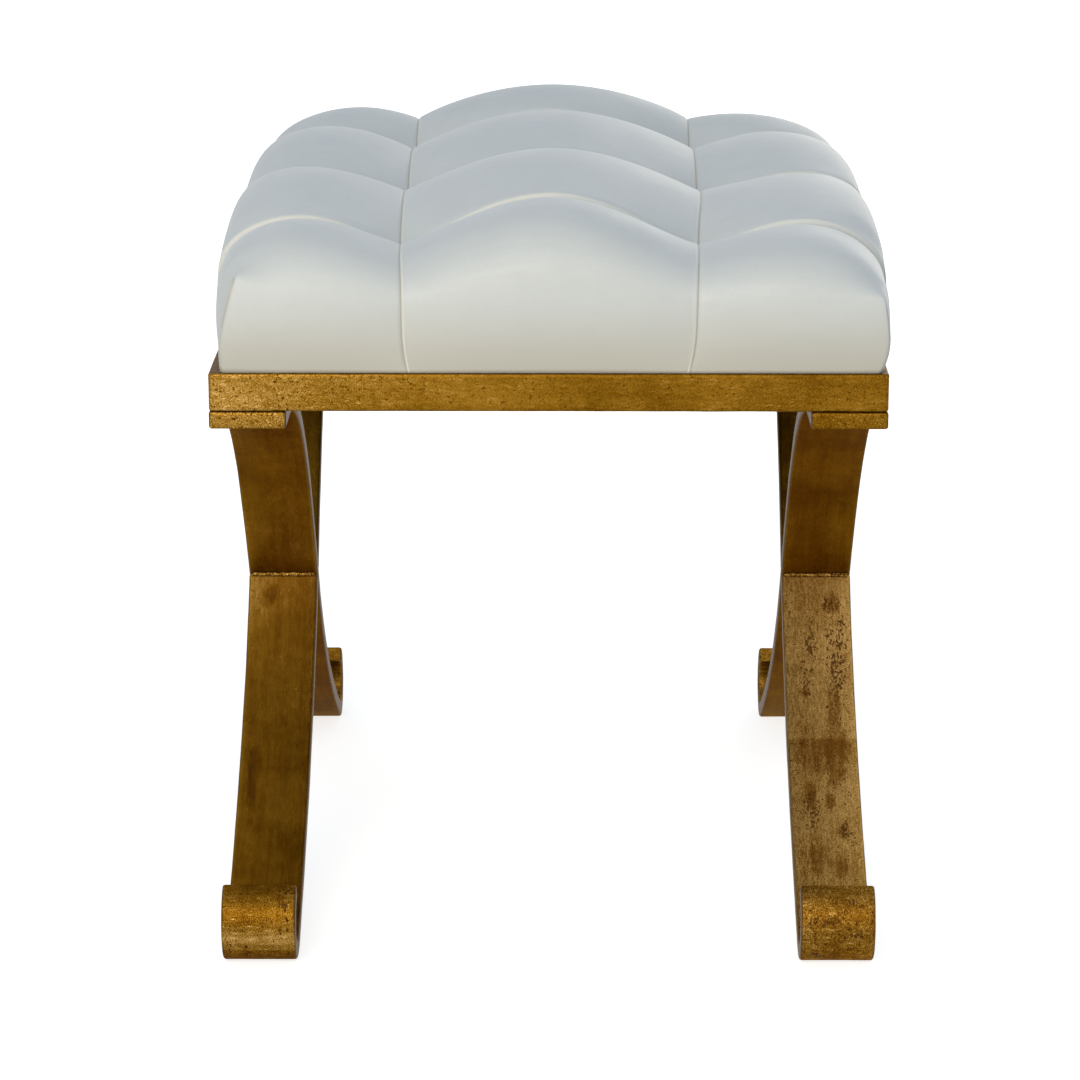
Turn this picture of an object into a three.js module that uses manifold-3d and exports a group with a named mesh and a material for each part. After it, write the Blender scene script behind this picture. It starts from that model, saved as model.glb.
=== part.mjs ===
// X frame stool: a tufted cushion on a gilded seat frame, carried by two X frames of flat bar with scroll feet.
// Millimetres, +Z up, +Y from the front end to the back. The origin is on the floor, under the middle of the stool.

import * as THREE from 'three';
import { mergeVertices } from 'three/addons/utils/BufferGeometryUtils.js';
import Module from 'manifold-3d';

const wasm = await Module();
wasm.setup();

// Overall sizes
const SEAT_WIDTH = 457;
const SEAT_DEPTH = 610;
const FIT_GAP = 0.3;
const CUT_OVERRUN = 10;

// Flat bar of the X frames
const BAR_WIDTH = 52;
const BAR_THICKNESS = 12;
const BAR_ARRIS = 2;
const BAR_END_RADIUS = 3;
const ARM_UNDERSIDE_HEIGHT = 390;
const TAB_LENGTH = 30;
const CROSSING_HEIGHT = 204;
const CROSSING_SLOPE = THREE.MathUtils.degToRad(54.3);
const SHOULDER_PULL_SHARE = 0.333;
const ARM_PULL_SHARE = 0.369;
const LEG_PULL_SHARE = 0.304;
const SHIN_PULL_SHARE = 0.363;
const ARM_STEPS = 15;
const LEG_STEPS = 11;

// Scroll feet
const SCROLL_OUTER_RADIUS = 29;
const SCROLL_TURN = THREE.MathUtils.degToRad(191);
const SHIN_SLOPE = THREE.MathUtils.degToRad(25.8);
const SCROLL_STEPS = 20;
const FOOT_FLAT_DEPTH = 0.5;

// Weld beads
const CROSS_BEAD_RADIUS = 3.2;
const SIDE_BEAD_OFFSET = 0.6;
const CROTCH_BEAD_OFFSET = 1.4;
const TAB_BEAD_RADIUS = 3.4;
const TAB_BEAD_OFFSET = 0.5;
const RIPPLE_PITCH = 5.2;
const RIPPLE_SHARE = 0.1;
const BEAD_SIDES = 10;

// Seat rails
const RAIL_HEIGHT = 26;
const RAIL_THICKNESS = 12;
const RAIL_ARRIS = 1.5;
const RAIL_CORNER_RADIUS = 3.5;
const CORNER_ARC_STEPS = 4;

// Corner plates and their screws
const PLATE_LEG = 60;
const PLATE_TIP = 8;
const PLATE_THICKNESS = 3;
const SCREW_INSET = 18;
const SCREW_RADIUS = 2.1;
const SCREW_LENGTH = 15;
const SCREW_HEAD_RADIUS = 4.6;
const SCREW_HEAD_HEIGHT = 2.6;
const SCREW_CLEARANCE = 0.5;
const ROUND_SIDES = 12;

// Seat board, foam and dust cover
const BOARD_THICKNESS = 15;
const POCKET_CORNER_RADIUS = 12;
const FOAM_THICKNESS = 22;
const COVER_WRAP = 4;
const DUST_COVER_THICKNESS = 1;
const DUST_COVER_MARGIN = 1.5;

// Tufted cushion: three columns of tufts across, four rows along
const TUCK_INSET = 8;
const TUCK_SHARE = 0.4;
const BULGE = 2.2;
const WALL_SHARE = 0.5;
const WALL_STEPS = 3;
const WALL_STEP_WIDTH = 1;
const SEAM_INSET = 124;
const PLEAT_INSET = 120;
const SIDE_ROLL_WIDTH = 60;
const END_ROLL_WIDTH = 62;
const ROLL_POWER = 0.75;
const CROWN_HEIGHT = 114;
const COLUMN_DROP = 17;
const ROW_DROP = 5;
const SEAM_ROW_DROP = 4;
const SEAM_DEPTH = 31;
const PLEAT_DEPTH = 16;
const TUFT_DEPTH = 60;
const SEAM_POWER = 1;
const SIDE_SEAM_POWER = 0.8;
const PLEAT_POWER = 0.7;
const SEAM_NOTCH_DEPTH = 4;
const PLEAT_NOTCH_DEPTH = 0.5;
const SEAM_DRIFT = 7;
const CORNER_DROP = 24;
const CORNER_DROP_REACH = 46;
const CUSHION_CORNER_RADIUS = 12;
const CORNER_BLEND_POWER = 7;
const ROLL_STEPS = 5;
const CREST_STEPS = 3;
const COLUMN_STEPS = 8;
const ROW_STEPS = 6;

// Sizes worked out from the values above
const halfWidth = SEAT_WIDTH / 2;
const halfDepth = SEAT_DEPTH / 2;
const halfBar = BAR_THICKNESS / 2;
const armHeight = ARM_UNDERSIDE_HEIGHT + halfBar;
const tabTop = ARM_UNDERSIDE_HEIGHT + BAR_THICKNESS;
const railBottom = tabTop + FIT_GAP;
const railTop = railBottom + RAIL_HEIGHT;
const cushionBase = railTop + FIT_GAP;
const frameCentre = halfWidth - BAR_WIDTH / 2;
const innerWidth = halfWidth - RAIL_THICKNESS;
const innerDepth = halfDepth - RAIL_THICKNESS;
const pocketHalfWidth = halfWidth - TUCK_INSET - COVER_WRAP;
const pocketHalfDepth = halfDepth - TUCK_INSET - COVER_WRAP;
const boardHalfWidth = pocketHalfWidth - FIT_GAP;
const boardHalfDepth = pocketHalfDepth - FIT_GAP;
const boardCornerRadius = POCKET_CORNER_RADIUS - FIT_GAP;
const pocketHeight = BOARD_THICKNESS + FIT_GAP + FOAM_THICKNESS + FIT_GAP;
const screwX = innerWidth - FIT_GAP - SCREW_INSET;
const screwY = innerDepth - FIT_GAP - SCREW_INSET;

// Materials
const material = (color, roughness, metalness) => new THREE.MeshStandardMaterial({ color, roughness, metalness });
const giltIron = () => material(0x8a6222, 0.45, 0.8);
const blackIron = () => material(0x2b2622, 0.6, 0.7);
const zinc = () => material(0xa8a8a4, 0.35, 0.9);
const plywood = () => material(0xb98f5e, 0.75, 0);
const foam = () => material(0xe8dfb8, 0.95, 0);
const ivorySatin = () => material(0xdcdcd6, 0.55, 0);
const dustCloth = () => material(0x1d1c1b, 0.95, 0);

// Conversion between three.js geometry and solids
function toSolid(geometry) {
  geometry.deleteAttribute('normal');
  geometry.deleteAttribute('uv');
  const merged = mergeVertices(geometry);
  return new wasm.Manifold(new wasm.Mesh({
    numProp: 3,
    vertProperties: new Float32Array(merged.attributes.position.array),
    triVerts: new Uint32Array(merged.index.array),
  }));
}

function toGeometry(solid) {
  const mesh = solid.getMesh();
  const geometry = new THREE.BufferGeometry();
  geometry.setAttribute('position', new THREE.BufferAttribute(new Float32Array(mesh.vertProperties), 3));
  geometry.setIndex(new THREE.BufferAttribute(new Uint32Array(mesh.triVerts), 1));
  geometry.computeVertexNormals();
  return geometry;
}

// Basic blanks
function block(low, high) {
  const size = new THREE.Vector3().subVectors(high, low);
  const geometry = new THREE.BoxGeometry(size.x, size.y, size.z);
  const middle = new THREE.Vector3().addVectors(low, high).multiplyScalar(1 / 2);
  return toSolid(geometry.translate(middle.x, middle.y, middle.z));
}

function plateBlank(shape, bottom, thickness, arris = 0) {
  const geometry = new THREE.ExtrudeGeometry(shape, {
    depth: thickness - 2 * arris,
    steps: 1,
    curveSegments: CORNER_ARC_STEPS,
    bevelEnabled: arris > 0,
    bevelThickness: arris,
    bevelSize: arris,
    bevelOffset: -arris,
    bevelSegments: 2,
  });
  return toSolid(geometry.translate(0, 0, bottom + arris));
}

function roundedRectangle(halfX, halfY, radius) {
  const shape = new THREE.Shape();
  shape.moveTo(halfX - radius, -halfY);
  shape.absarc(halfX - radius, -halfY + radius, radius, -Math.PI / 2, 0);
  shape.absarc(halfX - radius, halfY - radius, radius, 0, Math.PI / 2);
  shape.absarc(-halfX + radius, halfY - radius, radius, Math.PI / 2, Math.PI);
  shape.absarc(-halfX + radius, -halfY + radius, radius, Math.PI, 3 * Math.PI / 2);
  shape.closePath();
  return shape;
}

// Centre line of the bars, in the side plane: x runs from the front end to the back, y is height
function curveBetween(start, startSlope, startShare, end, endSlope, endShare, steps) {
  const reach = start.distanceTo(end);
  const leave = new THREE.Vector2(Math.cos(startSlope), -Math.sin(startSlope)).multiplyScalar(startShare * reach);
  const arrive = new THREE.Vector2(Math.cos(endSlope), -Math.sin(endSlope)).multiplyScalar(endShare * reach);
  const curve = new THREE.CubicBezierCurve(start, start.clone().add(leave), end.clone().sub(arrive), end);
  return curve.getPoints(steps).map((point, i) => ({ point, heading: curve.getTangent(i / steps) }));
}

function armLine() {
  const tip = new THREE.Vector2(-halfDepth, armHeight);
  const tabEnd = new THREE.Vector2(-halfDepth + TAB_LENGTH, armHeight);
  const crossing = new THREE.Vector2(0, CROSSING_HEIGHT);
  const curve = curveBetween(
    tabEnd, 0, SHOULDER_PULL_SHARE, crossing, CROSSING_SLOPE, ARM_PULL_SHARE, ARM_STEPS);
  return [{ point: tip, heading: new THREE.Vector2(1, 0) }, ...curve];
}

function legLine() {
  const radius = SCROLL_OUTER_RADIUS - halfBar;
  const centre = new THREE.Vector2(halfDepth - SCROLL_OUTER_RADIUS, SCROLL_OUTER_RADIUS - FOOT_FLAT_DEPTH);
  const crossing = new THREE.Vector2(0, CROSSING_HEIGHT);
  const onScroll = (turned) => {
    const angle = turned - SHIN_SLOPE;
    return {
      point: centre.clone().add(new THREE.Vector2(Math.sin(angle), -Math.cos(angle)).multiplyScalar(radius)),
      heading: new THREE.Vector2(Math.cos(angle), Math.sin(angle)),
    };
  };
  const shin = curveBetween(
    crossing, CROSSING_SLOPE, LEG_PULL_SHARE, onScroll(0).point, SHIN_SLOPE, SHIN_PULL_SHARE, LEG_STEPS);
  const scroll = Array.from({ length: SCROLL_STEPS }, (_, i) => onScroll(SCROLL_TURN * (i + 1) / SCROLL_STEPS));
  return [...shin, ...scroll];
}

const mirrored = (line) => line.map(({ point, heading }) => ({
  point: new THREE.Vector2(-point.x, point.y),
  heading: new THREE.Vector2(-heading.x, heading.y),
}));

// Outline of a bar around its centre line, with rounded free ends
function barOutline(line, half, startRadius, endRadius) {
  const beside = ({ point, heading }, along, across) => new THREE.Vector2(
    point.x + heading.x * along - heading.y * across,
    point.y + heading.y * along + heading.x * across);
  const roundedEnd = (end, forward, radius) => {
    const corner = (sign, from, to) => {
      const centre = beside(end, -forward * radius, sign * (half - radius));
      const base = Math.atan2(end.heading.y, end.heading.x) + (forward > 0 ? 0 : Math.PI);
      return Array.from({ length: CORNER_ARC_STEPS + 1 }, (_, i) => {
        const angle = base + from + (to - from) * i / CORNER_ARC_STEPS;
        return new THREE.Vector2(Math.cos(angle), Math.sin(angle)).multiplyScalar(radius).add(centre);
      });
    };
    const right = corner(-forward, -Math.PI / 2, 0);
    const left = corner(forward, 0, Math.PI / 2);
    return [...right, ...left];
  };
  const squareEnd = (end, forward) => [beside(end, 0, -forward * half), beside(end, 0, forward * half)];
  const first = line[0];
  const last = line[line.length - 1];
  const middle = line.slice(1, -1);
  return new THREE.Shape([
    ...middle.map((station) => beside(station, 0, -half)),
    ...(endRadius > 0 ? roundedEnd(last, 1, endRadius) : squareEnd(last, 1)),
    ...middle.map((station) => beside(station, 0, half)).reverse(),
    ...(startRadius > 0 ? roundedEnd(first, -1, startRadius) : squareEnd(first, -1)),
  ]);
}

// A bar lies in the side plane, so its outline is extruded along X
function barSolid(outline, width, arris) {
  const geometry = new THREE.ExtrudeGeometry(outline, {
    depth: width - 2 * arris,
    steps: 1,
    bevelEnabled: arris > 0,
    bevelThickness: arris,
    bevelSize: arris,
    bevelOffset: -arris,
    bevelSegments: 2,
  });
  geometry.translate(0, 0, arris - width / 2);
  const sidePlane = new THREE.Matrix4().makeBasis(
    new THREE.Vector3(0, 1, 0), new THREE.Vector3(0, 0, 1), new THREE.Vector3(1, 0, 0));
  return toSolid(geometry.applyMatrix4(sidePlane));
}

const floorCut = block(
  new THREE.Vector3(-halfWidth - CUT_OVERRUN, -halfDepth - CUT_OVERRUN, -CUT_OVERRUN),
  new THREE.Vector3(halfWidth + CUT_OVERRUN, halfDepth + CUT_OVERRUN, 0));

// The long bar runs from the front tab to the back foot; the two half bars butt against it at the crossing
const longLine = [...armLine(), ...legLine().slice(1)];
const backArmLine = mirrored(armLine());
const frontLegLine = mirrored(legLine());
const clearWidth = BAR_WIDTH + CUT_OVERRUN;
const clearOf = (line) => barSolid(barOutline(line, halfBar + FIT_GAP, 0, 0), clearWidth, 0);
const longBarSpace = clearOf(longLine);
const halfBarSpace = clearOf(backArmLine).add(clearOf(frontLegLine));

const longBar = barSolid(barOutline(longLine, halfBar, BAR_END_RADIUS, BAR_END_RADIUS), BAR_WIDTH, BAR_ARRIS)
  .subtract(floorCut);
const backArm = barSolid(barOutline(backArmLine, halfBar, BAR_END_RADIUS, 0), BAR_WIDTH, BAR_ARRIS)
  .subtract(longBarSpace);
const frontLeg = barSolid(barOutline(frontLegLine, halfBar, 0, BAR_END_RADIUS), BAR_WIDTH, BAR_ARRIS)
  .subtract(longBarSpace)
  .subtract(floorCut);

// A weld bead is a rippled rod along X
function beadRod(length, radius, y, z) {
  const ripples = Math.max(1, Math.round(length / RIPPLE_PITCH));
  const profile = [new THREE.Vector2(0, 0)];
  for (let i = 0; i <= 2 * ripples; i += 1) {
    const swell = i % 2 === 0 ? 1 - RIPPLE_SHARE : 1;
    profile.push(new THREE.Vector2(radius * swell, length * i / (2 * ripples)));
  }
  profile.push(new THREE.Vector2(0, length));
  const geometry = new THREE.LatheGeometry(profile, BEAD_SIDES);
  geometry.rotateZ(-Math.PI / 2);
  return toSolid(geometry.translate(-length / 2, y, z));
}

function crossBead(sideways, upward) {
  const offset = sideways === 0 ? CROTCH_BEAD_OFFSET : SIDE_BEAD_OFFSET;
  const y = sideways * (halfBar / Math.sin(CROSSING_SLOPE) + offset);
  const z = CROSSING_HEIGHT + upward * (halfBar / Math.cos(CROSSING_SLOPE) + offset);
  return beadRod(BAR_WIDTH - 2 * BAR_ARRIS, CROSS_BEAD_RADIUS, y, z)
    .subtract(longBarSpace)
    .subtract(halfBarSpace);
}

const tabBeadLength = BAR_WIDTH - RAIL_THICKNESS - FIT_GAP - BAR_ARRIS;

function tabBead(end) {
  const seat = innerDepth - FIT_GAP - TAB_BEAD_OFFSET;
  const rod = beadRod(tabBeadLength, TAB_BEAD_RADIUS, end * seat, tabTop + FIT_GAP + TAB_BEAD_OFFSET);
  const reach = tabBeadLength + CUT_OVERRUN;
  const tabSpace = block(
    new THREE.Vector3(-reach, -halfDepth, tabTop - BAR_THICKNESS),
    new THREE.Vector3(reach, halfDepth, tabTop + FIT_GAP));
  const nearRail = end * (innerDepth - FIT_GAP);
  const farRail = end * halfDepth;
  const railSpace = block(
    new THREE.Vector3(-reach, Math.min(nearRail, farRail), tabTop - BAR_THICKNESS),
    new THREE.Vector3(reach, Math.max(nearRail, farRail), railTop));
  return rod.subtract(tabSpace).subtract(railSpace);
}

// Seat frame: one ring with rounded edges, parted into four rails at the mitres
function railRing() {
  const outline = roundedRectangle(halfWidth, halfDepth, RAIL_CORNER_RADIUS);
  const inner = new THREE.Path();
  inner.moveTo(-innerWidth, -innerDepth);
  inner.lineTo(-innerWidth, innerDepth);
  inner.lineTo(innerWidth, innerDepth);
  inner.lineTo(innerWidth, -innerDepth);
  inner.closePath();
  outline.holes.push(inner);
  return plateBlank(outline, railBottom, RAIL_HEIGHT, RAIL_ARRIS);
}

function mitreBlank(alongX, sign) {
  const back = RAIL_THICKNESS + CUT_OVERRUN;
  const trim = FIT_GAP / Math.SQRT2;
  const long = alongX ? halfWidth : halfDepth;
  const across = alongX ? halfDepth : halfWidth;
  const corners = [
    [-(long + CUT_OVERRUN - trim), across + CUT_OVERRUN],
    [long + CUT_OVERRUN - trim, across + CUT_OVERRUN],
    [long - back - trim, across - back],
    [-(long - back - trim), across - back],
  ];
  const points = corners.map(([run, out]) => (
    alongX ? new THREE.Vector2(run, sign * out) : new THREE.Vector2(sign * out, run)));
  return plateBlank(new THREE.Shape(points), railBottom - CUT_OVERRUN, RAIL_HEIGHT + 2 * CUT_OVERRUN);
}

const ring = railRing();
const rail = (alongX, sign) => ring.intersect(mitreBlank(alongX, sign));

// Corner plates under the seat board, and the screws through them
function cylinder(radius, bottom, height, x, y) {
  const geometry = new THREE.CylinderGeometry(radius, radius, height, ROUND_SIDES);
  geometry.rotateX(Math.PI / 2);
  return toSolid(geometry.translate(x, y, bottom + height / 2));
}

function cornerPlate(signX, signY) {
  const cornerX = innerWidth - FIT_GAP;
  const cornerY = innerDepth - FIT_GAP;
  const at = (fromX, fromY) => new THREE.Vector2(signX * (cornerX - fromX), signY * (cornerY - fromY));
  const outline = new THREE.Shape([
    at(0, 0), at(PLATE_LEG, 0), at(PLATE_LEG, PLATE_TIP), at(PLATE_TIP, PLATE_LEG), at(0, PLATE_LEG)]);
  const hole = cylinder(
    SCREW_RADIUS + SCREW_CLEARANCE, railTop - PLATE_THICKNESS - CUT_OVERRUN,
    PLATE_THICKNESS + 2 * CUT_OVERRUN, signX * screwX, signY * screwY);
  return plateBlank(outline, railTop - PLATE_THICKNESS, PLATE_THICKNESS).subtract(hole);
}

function seatScrew() {
  const headTop = railTop - PLATE_THICKNESS - FIT_GAP;
  const profile = [
    new THREE.Vector2(0, headTop - SCREW_HEAD_HEIGHT),
    new THREE.Vector2(SCREW_HEAD_RADIUS / 2, headTop - SCREW_HEAD_HEIGHT),
    new THREE.Vector2(SCREW_HEAD_RADIUS, headTop - SCREW_HEAD_HEIGHT / 3),
    new THREE.Vector2(SCREW_HEAD_RADIUS, headTop),
    new THREE.Vector2(SCREW_RADIUS, headTop),
    new THREE.Vector2(SCREW_RADIUS, headTop + SCREW_LENGTH - SCREW_RADIUS),
    new THREE.Vector2(0, headTop + SCREW_LENGTH),
  ];
  const geometry = new THREE.LatheGeometry(profile, ROUND_SIDES);
  geometry.rotateX(Math.PI / 2);
  return toSolid(geometry);
}

// Seat board with blind holes for the screws, the foam on it and the dust cover under it
function seatBoard() {
  const board = plateBlank(
    roundedRectangle(boardHalfWidth, boardHalfDepth, boardCornerRadius), cushionBase, BOARD_THICKNESS);
  const holeTop = railTop - PLATE_THICKNESS + SCREW_LENGTH;
  const holeBottom = cushionBase - CUT_OVERRUN;
  let drilled = board;
  for (const signX of [-1, 1]) {
    for (const signY of [-1, 1]) {
      drilled = drilled.subtract(cylinder(
        SCREW_RADIUS + SCREW_CLEARANCE, holeBottom, holeTop - holeBottom, signX * screwX, signY * screwY));
    }
  }
  return drilled;
}

function foamCore() {
  const bottom = cushionBase + BOARD_THICKNESS + FIT_GAP;
  return plateBlank(roundedRectangle(boardHalfWidth, boardHalfDepth, boardCornerRadius), bottom, FOAM_THICKNESS);
}

function dustCover() {
  const x = innerWidth - DUST_COVER_MARGIN;
  const y = innerDepth - DUST_COVER_MARGIN;
  const clip = PLATE_LEG + PLATE_TIP;
  const corners = [
    [x - clip, -y], [x, clip - y], [x, y - clip], [x - clip, y],
    [clip - x, y], [-x, y - clip], [-x, clip - y], [clip - x, -y],
  ];
  const outline = new THREE.Shape(corners.map(([px, py]) => new THREE.Vector2(px, py)));
  return plateBlank(outline, railTop - DUST_COVER_THICKNESS, DUST_COVER_THICKNESS);
}

// Stations across the cushion. Each has its distance from the edge, how far it has climbed the side wall and
// then the rounded shoulder, and its lift between a sewn line (0) and the middle of a tuft (1).
function edgeStations(rollWidth, lineInset, power) {
  const stations = [];
  for (let i = 0; i <= WALL_STEPS; i += 1) {
    stations.push({ inset: WALL_STEP_WIDTH * i, climb: i / WALL_STEPS, arch: 0, lift: 1 });
  }
  for (let i = 1; i <= ROLL_STEPS; i += 1) {
    const angle = (Math.PI / 2) * i / ROLL_STEPS;
    const arch = Math.sin(angle) ** ROLL_POWER;
    stations.push({ inset: wallWidth + rollWidth * (1 - Math.cos(angle)), climb: 1, arch, lift: 1 });
  }
  const crestInset = wallWidth + rollWidth;
  for (let i = 1; i <= CREST_STEPS; i += 1) {
    const share = i / CREST_STEPS;
    stations.push({
      inset: crestInset + (lineInset - crestInset) * share,
      climb: 1,
      arch: 1,
      lift: i === CREST_STEPS ? 0 : Math.cos((Math.PI / 2) * share) ** power,
    });
  }
  return stations.map((station) => ({ ...station, edge: 1 }));
}

function axisStations(half, lines, rollWidth, edgePower, power, steps) {
  const start = edgeStations(rollWidth, half + lines[0], edgePower);
  const stations = start.map(({ inset, ...rest }) => ({ place: inset - half, ...rest }));
  for (let cell = 0; cell + 1 < lines.length; cell += 1) {
    const width = lines[cell + 1] - lines[cell];
    for (let i = 1; i <= steps; i += 1) {
      const share = i / steps;
      const lift = i === steps ? 0 : Math.sin(Math.PI * share) ** power;
      stations.push({ place: lines[cell] + width * share, climb: 1, arch: 1, lift, edge: 0 });
    }
  }
  const back = start.slice(0, -1).reverse();
  return [...stations, ...back.map(({ inset, ...rest }) => ({ place: half - inset, ...rest }))];
}

const wallWidth = WALL_STEPS * WALL_STEP_WIDTH;
const seamX = halfWidth - SEAM_INSET;
const pleatY = halfDepth - PLEAT_INSET;
const columns = axisStations(
  halfWidth, [-seamX, seamX], SIDE_ROLL_WIDTH, SIDE_SEAM_POWER, SEAM_POWER, COLUMN_STEPS);
const rows = axisStations(halfDepth, [-pleatY, 0, pleatY], END_ROLL_WIDTH, PLEAT_POWER, PLEAT_POWER, ROW_STEPS);

// Height of the cushion's top between its tuft points, seams, pleats and crests
function cushionTop(column, row) {
  const crest = CROWN_HEIGHT - COLUMN_DROP * column.edge - ROW_DROP * row.edge;
  const pleat = CROWN_HEIGHT - COLUMN_DROP * column.edge - PLEAT_DEPTH;
  const seam = CROWN_HEIGHT - SEAM_DEPTH - SEAM_ROW_DROP * row.edge;
  const tuft = CROWN_HEIGHT - TUFT_DEPTH;
  const fromCorner = Math.hypot(halfWidth - Math.abs(column.place), halfDepth - Math.abs(row.place));
  const drop = CORNER_DROP * Math.exp(-((fromCorner / CORNER_DROP_REACH) ** 2));
  const a = column.lift;
  const b = row.lift;
  return (1 - a) * ((1 - b) * tuft + b * seam) + a * ((1 - b) * pleat + b * crest) - drop;
}

const edgeRise = (station) => WALL_SHARE * station.climb + (1 - WALL_SHARE) * station.arch;

function blendedRise(first, second) {
  if (first === 0 || second === 0) return 0;
  return (first ** -CORNER_BLEND_POWER + second ** -CORNER_BLEND_POWER - 1) ** (-1 / CORNER_BLEND_POWER);
}

// Plan position: sides drawn in at the frame, notched at the ends of the sewn lines and rounded at the corners
function cushionPoint(column, row) {
  const riseX = edgeRise(column);
  const riseY = edgeRise(row);
  const rise = blendedRise(riseX, riseY);
  const flare = BULGE - (BULGE + TUCK_INSET) * Math.max(0, 1 - rise / TUCK_SHARE) ** 2;
  const notch = (depth, edge, along) => depth * (1 - along.lift) * 4 * edge * (1 - edge);
  const drift = SEAM_DRIFT * (1 - riseY) * Math.sin(Math.PI * Math.abs(column.place) / halfWidth);
  const radius = CUSHION_CORNER_RADIUS;
  const overX = Math.abs(column.place) - (halfWidth - radius);
  const overY = Math.abs(row.place) - (halfDepth - radius);
  const pull = overX > 0 && overY > 0 ? 1 - Math.max(overX, overY) / Math.hypot(overX, overY) : 0;
  const reachX = Math.abs(column.place) - overX * pull - notch(PLEAT_NOTCH_DEPTH, riseX, row) - drift;
  const reachY = Math.abs(row.place) - overY * pull - notch(SEAM_NOTCH_DEPTH, riseY, column);
  return new THREE.Vector3(
    Math.sign(column.place) * reachX * (1 + flare / halfWidth),
    Math.sign(row.place) * reachY * (1 + flare / halfDepth),
    cushionBase + rise * cushionTop(column, row));
}

function cushionSolid() {
  const across = columns.length;
  const along = rows.length;
  const points = rows.flatMap((row) => columns.map((column) => cushionPoint(column, row)));
  const at = (i, j) => j * across + i;
  const triangles = [];
  for (let j = 0; j + 1 < along; j += 1) {
    for (let i = 0; i + 1 < across; i += 1) {
      triangles.push(at(i, j), at(i + 1, j), at(i + 1, j + 1));
      triangles.push(at(i, j), at(i + 1, j + 1), at(i, j + 1));
    }
  }
  const rim = [];
  for (let i = 0; i + 1 < across; i += 1) rim.push(at(i, 0));
  for (let j = 0; j + 1 < along; j += 1) rim.push(at(across - 1, j));
  for (let i = across - 1; i > 0; i -= 1) rim.push(at(i, along - 1));
  for (let j = along - 1; j > 0; j -= 1) rim.push(at(0, j));
  const middle = points.length;
  points.push(new THREE.Vector3(0, 0, cushionBase));
  rim.forEach((corner, k) => triangles.push(middle, rim[(k + 1) % rim.length], corner));
  const geometry = new THREE.BufferGeometry().setFromPoints(points);
  geometry.setIndex(triangles);
  const pocket = plateBlank(
    roundedRectangle(pocketHalfWidth, pocketHalfDepth, POCKET_CORNER_RADIUS),
    cushionBase - CUT_OVERRUN, CUT_OVERRUN + pocketHeight);
  return toSolid(geometry).subtract(pocket);
}

// Assembly
const stool = new THREE.Group();

function addPiece(group, name, solid, finish, x = 0, y = 0) {
  const mesh = new THREE.Mesh(toGeometry(solid), finish());
  mesh.name = name;
  mesh.position.set(x, y, 0);
  group.add(mesh);
}

const seatFrame = new THREE.Group();
addPiece(seatFrame, 'front_rail', rail(true, -1), giltIron);
addPiece(seatFrame, 'back_rail', rail(true, 1), giltIron);
addPiece(seatFrame, 'left_rail', rail(false, -1), giltIron);
addPiece(seatFrame, 'right_rail', rail(false, 1), giltIron);
stool.add(seatFrame);

for (const [side, sign] of [['left', -1], ['right', 1]]) {
  const frame = new THREE.Group();
  frame.position.x = sign * frameCentre;
  addPiece(frame, `${side}_long_bar`, longBar, giltIron);
  addPiece(frame, `${side}_back_arm`, backArm, giltIron);
  addPiece(frame, `${side}_front_leg`, frontLeg, giltIron);
  addPiece(frame, `${side}_cross_weld_front`, crossBead(-1, 0), giltIron);
  addPiece(frame, `${side}_cross_weld_back`, crossBead(1, 0), giltIron);
  addPiece(frame, `${side}_cross_weld_top`, crossBead(0, 1), giltIron);
  addPiece(frame, `${side}_cross_weld_bottom`, crossBead(0, -1), giltIron);
  stool.add(frame);
  const tabBeadX = sign * (innerWidth - FIT_GAP - tabBeadLength / 2);
  for (const [end, direction] of [['front', -1], ['back', 1]]) {
    addPiece(stool, `${side}_${end}_tab_weld`, tabBead(direction), giltIron, tabBeadX);
    addPiece(stool, `${side}_${end}_corner_plate`, cornerPlate(sign, direction), blackIron);
    addPiece(stool, `${side}_${end}_seat_screw`, seatScrew(), zinc, sign * screwX, direction * screwY);
  }
}

addPiece(stool, 'seat_board', seatBoard(), plywood);
addPiece(stool, 'foam_core', foamCore(), foam);
addPiece(stool, 'dust_cover', dustCover(), dustCloth);
addPiece(stool, 'tufted_cushion', cushionSolid(), ivorySatin);

export default stool;
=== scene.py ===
# X frame stool: gilded bars with scroll feet, a tufted satin cushion and a dust cover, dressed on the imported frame
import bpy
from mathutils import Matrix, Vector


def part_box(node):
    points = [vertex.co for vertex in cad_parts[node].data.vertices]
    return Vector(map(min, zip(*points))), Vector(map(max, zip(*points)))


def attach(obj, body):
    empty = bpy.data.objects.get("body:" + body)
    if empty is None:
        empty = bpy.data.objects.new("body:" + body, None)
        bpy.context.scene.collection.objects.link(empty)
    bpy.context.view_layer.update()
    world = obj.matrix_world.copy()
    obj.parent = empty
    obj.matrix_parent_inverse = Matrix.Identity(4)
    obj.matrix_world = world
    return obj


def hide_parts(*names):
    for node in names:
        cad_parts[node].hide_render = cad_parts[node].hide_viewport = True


bl_info = {
    "name": "X Frame Stool",
    "version": (1, 0, 0),
    "blender": (4, 5, 0),
    "location": "3D View > Sidebar > Stool",
    "description": "Dresses a tufted bench stool with gilded X frames",
    "category": "Object",
}

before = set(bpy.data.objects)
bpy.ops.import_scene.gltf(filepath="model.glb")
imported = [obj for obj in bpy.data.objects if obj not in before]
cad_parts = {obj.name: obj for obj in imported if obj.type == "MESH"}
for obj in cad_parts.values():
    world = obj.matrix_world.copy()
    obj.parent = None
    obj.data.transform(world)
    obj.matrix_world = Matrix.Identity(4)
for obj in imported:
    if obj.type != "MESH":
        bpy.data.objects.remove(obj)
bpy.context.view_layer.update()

from collections import namedtuple
from math import ceil, copysign, cos, exp, hypot, pi, radians, sin

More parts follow.
